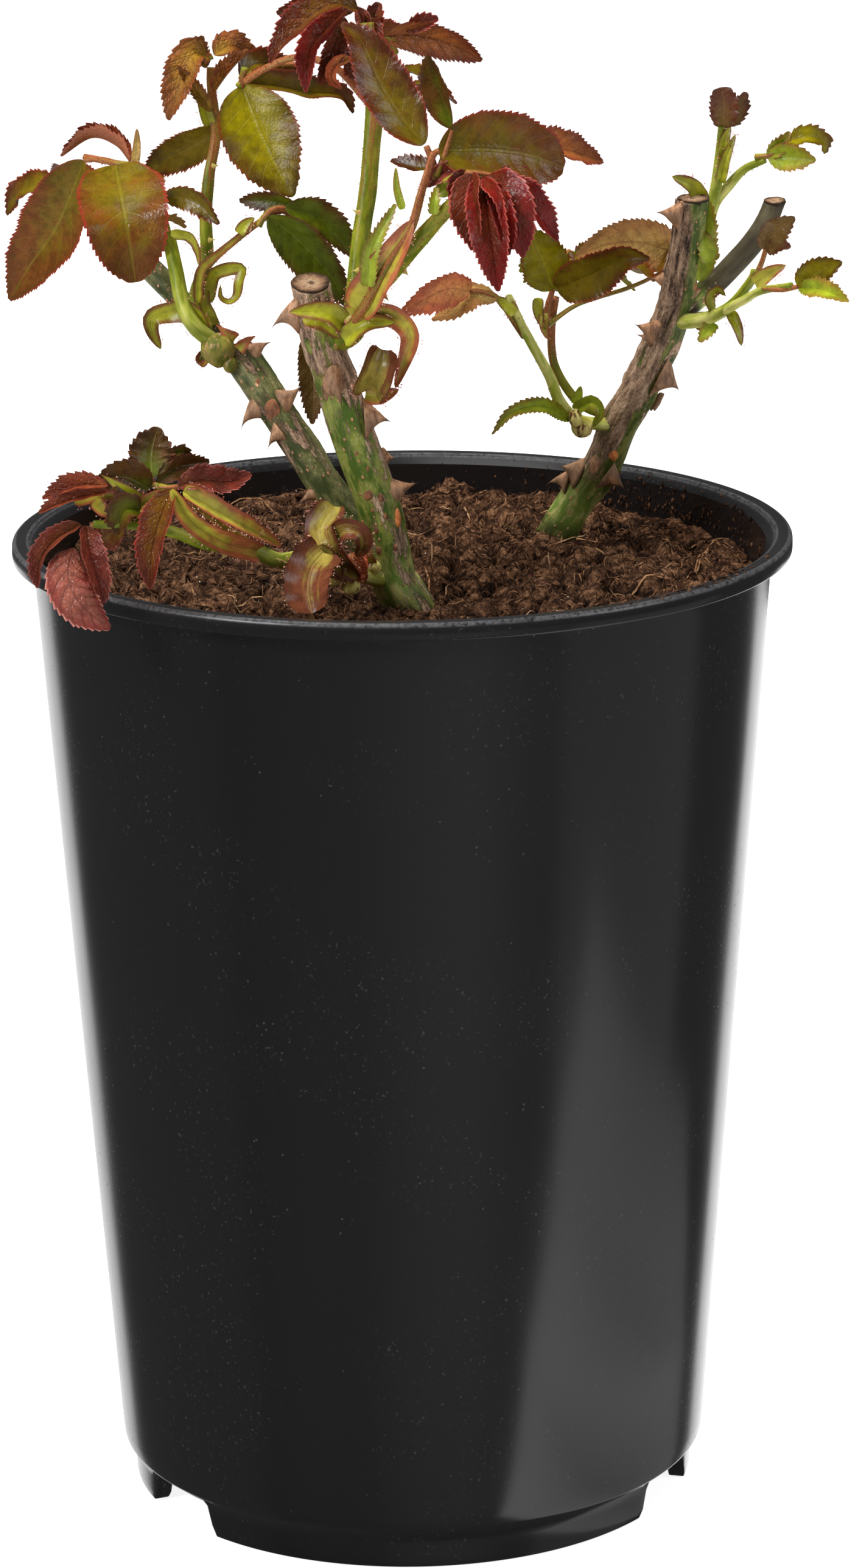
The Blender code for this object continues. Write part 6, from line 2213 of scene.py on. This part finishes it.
def lamp(name, place, aim, size, power, seen_in_gloss=True):
    """A rectangular soft light at `place` in metres that faces `aim`."""
    light = bpy.data.lights.new(name, "AREA")
    light.shape = "RECTANGLE"
    light.size, light.size_y = size
    light.energy = power
    made = add_object(name, light)
    direction = unit(np.array(aim, float) - np.array(place, float))
    side = unit(np.cross([0.0, 1.0, 0.0] if abs(direction[2]) > 0.95 else [0.0, 0.0, 1.0],
                         -direction))
    up = np.cross(-direction, side)
    made.matrix_world = frame_of(side, up, -direction, place)
    made.visible_camera = False
    made.visible_glossy = seen_in_gloss


def world(strength):
    """An even white room."""
    made = bpy.data.worlds.new("room")
    bpy.context.scene.world = made
    made.use_nodes = True
    made.node_tree.nodes["Background"].inputs["Color"].default_value = (1.0, 1.0, 1.0, 1.0)
    made.node_tree.nodes["Background"].inputs["Strength"].default_value = strength


def panel(name, place, aim, size, brightness):
    """A lamp as bright as a surface of that radiance: power is pi x area x radiance."""
    lamp(name, place, aim, size, math.pi * size[0] * size[1] * brightness)


floor()
world(0.07)
lamp("above", (-0.20, 0.05, 1.5), (0.0, 0.0, 0.2), (0.8, 0.7), 26.0, False)
lamp("behind", (0.0, 1.9, 1.3), (0.0, 0.9, 0.0), (3.0, 1.0), 60.0, False)
lamp("left", (-0.95, -0.75, 0.95), (0.0, 0.0, 0.3), (0.5, 0.6), 3.9)
lamp("right", (1.1, -0.5, 0.9), (0.0, 0.0, 0.3), (0.5, 0.7), 4.0)
panel("sheen", (-0.30, 0.05, 1.45), (0.0, 0.0, 0.2), (0.5, 0.5), 2.2)
panel("glint_left", (-0.80, -0.75, 0.92), (0.0, 0.0, 0.33), (0.32, 0.36), 16.0)
panel("glint_top", (-0.15, -0.55, 1.30), (0.0, 0.0, 0.33), (0.26, 0.26), 5.0)
LOW = -0.55
panel("mirrored_behind_right", (0.45, 0.97, LOW), (0.0, 0.0, LOW), (0.50, 1.06), 1.7)
panel("mirrored_behind_left", (-0.38, 1.15, LOW), (0.0, 0.0, LOW), (0.88, 1.06), 1.4)
panel("mirrored_right", (1.05, -0.35, LOW), (0.0, 0.0, LOW), (1.3, 1.06), 0.27)

# Glowing sheets that only mirrors see: rows of two places (x, y, z) in m with the brightness at
# each. One lies beside the pot and one stands in front, brighter to the right.
DEEP, FLUSH = -1.08, -0.02
SHEETS = {
    "mirrored_low": (((0.437, -0.254, -0.001, 1.3), (0.332, 0.094, -0.001, 0.36)),
                     ((0.265, -0.236, -0.001, 1.5), (0.232, 0.072, -0.001, 0.42)),
                     ((0.114, -0.163, -0.001, 2.0), (0.153, 0.032, -0.001, 0.42)),
                     ((0.035, -0.096, -0.001, 2.1), (0.069, -0.040, -0.001, 0.45))),
    "mirrored_front": (((-1.04, -0.60, DEEP, 0.0), (-1.04, -0.60, FLUSH, 0.0)),
                       ((-0.35, -1.15, DEEP, 0.03), (-0.35, -1.15, FLUSH, 0.14)),
                       ((0.45, -1.11, DEEP, 0.14), (0.45, -1.11, FLUSH, 0.44)),
                       ((0.96, -0.72, DEEP, 0.10), (0.96, -0.72, FLUSH, 0.14))),
}


def sheets():
    """Each sheet is a strip of quads just under the level of the floor."""
    make = Finish("sheet_glow")
    finish = make.done(base_color=(0.0, 0.0, 0.0, 1.0), specular_ior_level=0.0,
                       emission_color=make.mark("glow"), emission_strength=1.0)
    for name, rows in SHEETS.items():
        mesh = bpy.data.meshes.new(name)
        spots = np.array(rows).reshape(-1, 4)
        mesh.from_pydata(spots[:, :3].tolist(), [], [
            (2 * k, 2 * k + 2, 2 * k + 3, 2 * k + 1) for k in range(len(rows) - 1)])
        mesh.attributes.new("glow", "FLOAT", "POINT").data.foreach_set("value", spots[:, 3])
        mesh.materials.append(finish)
        made = add_object(name, mesh)
        made.visible_camera = made.visible_diffuse = made.visible_shadow = False
        made.visible_transmission = made.visible_volume_scatter = False


sheets()


def camera():
    """The pinhole that places are seen by: its view is VIEW_HIGH points high."""
    lens = bpy.data.cameras.new("camera")
    lens.sensor_fit = "VERTICAL"
    lens.sensor_height = SENSOR
    lens.lens = FOCAL * SENSOR / VIEW_HIGH
    lens.clip_start, lens.clip_end = 0.01, 50.0
    made = add_object("camera", lens)
    made.matrix_world = frame_of(ACROSS, UPWARD, -AHEAD, EYE * MM)
    bpy.context.scene.camera = made


camera()
bpy.context.scene.view_settings.view_transform = "Standard"
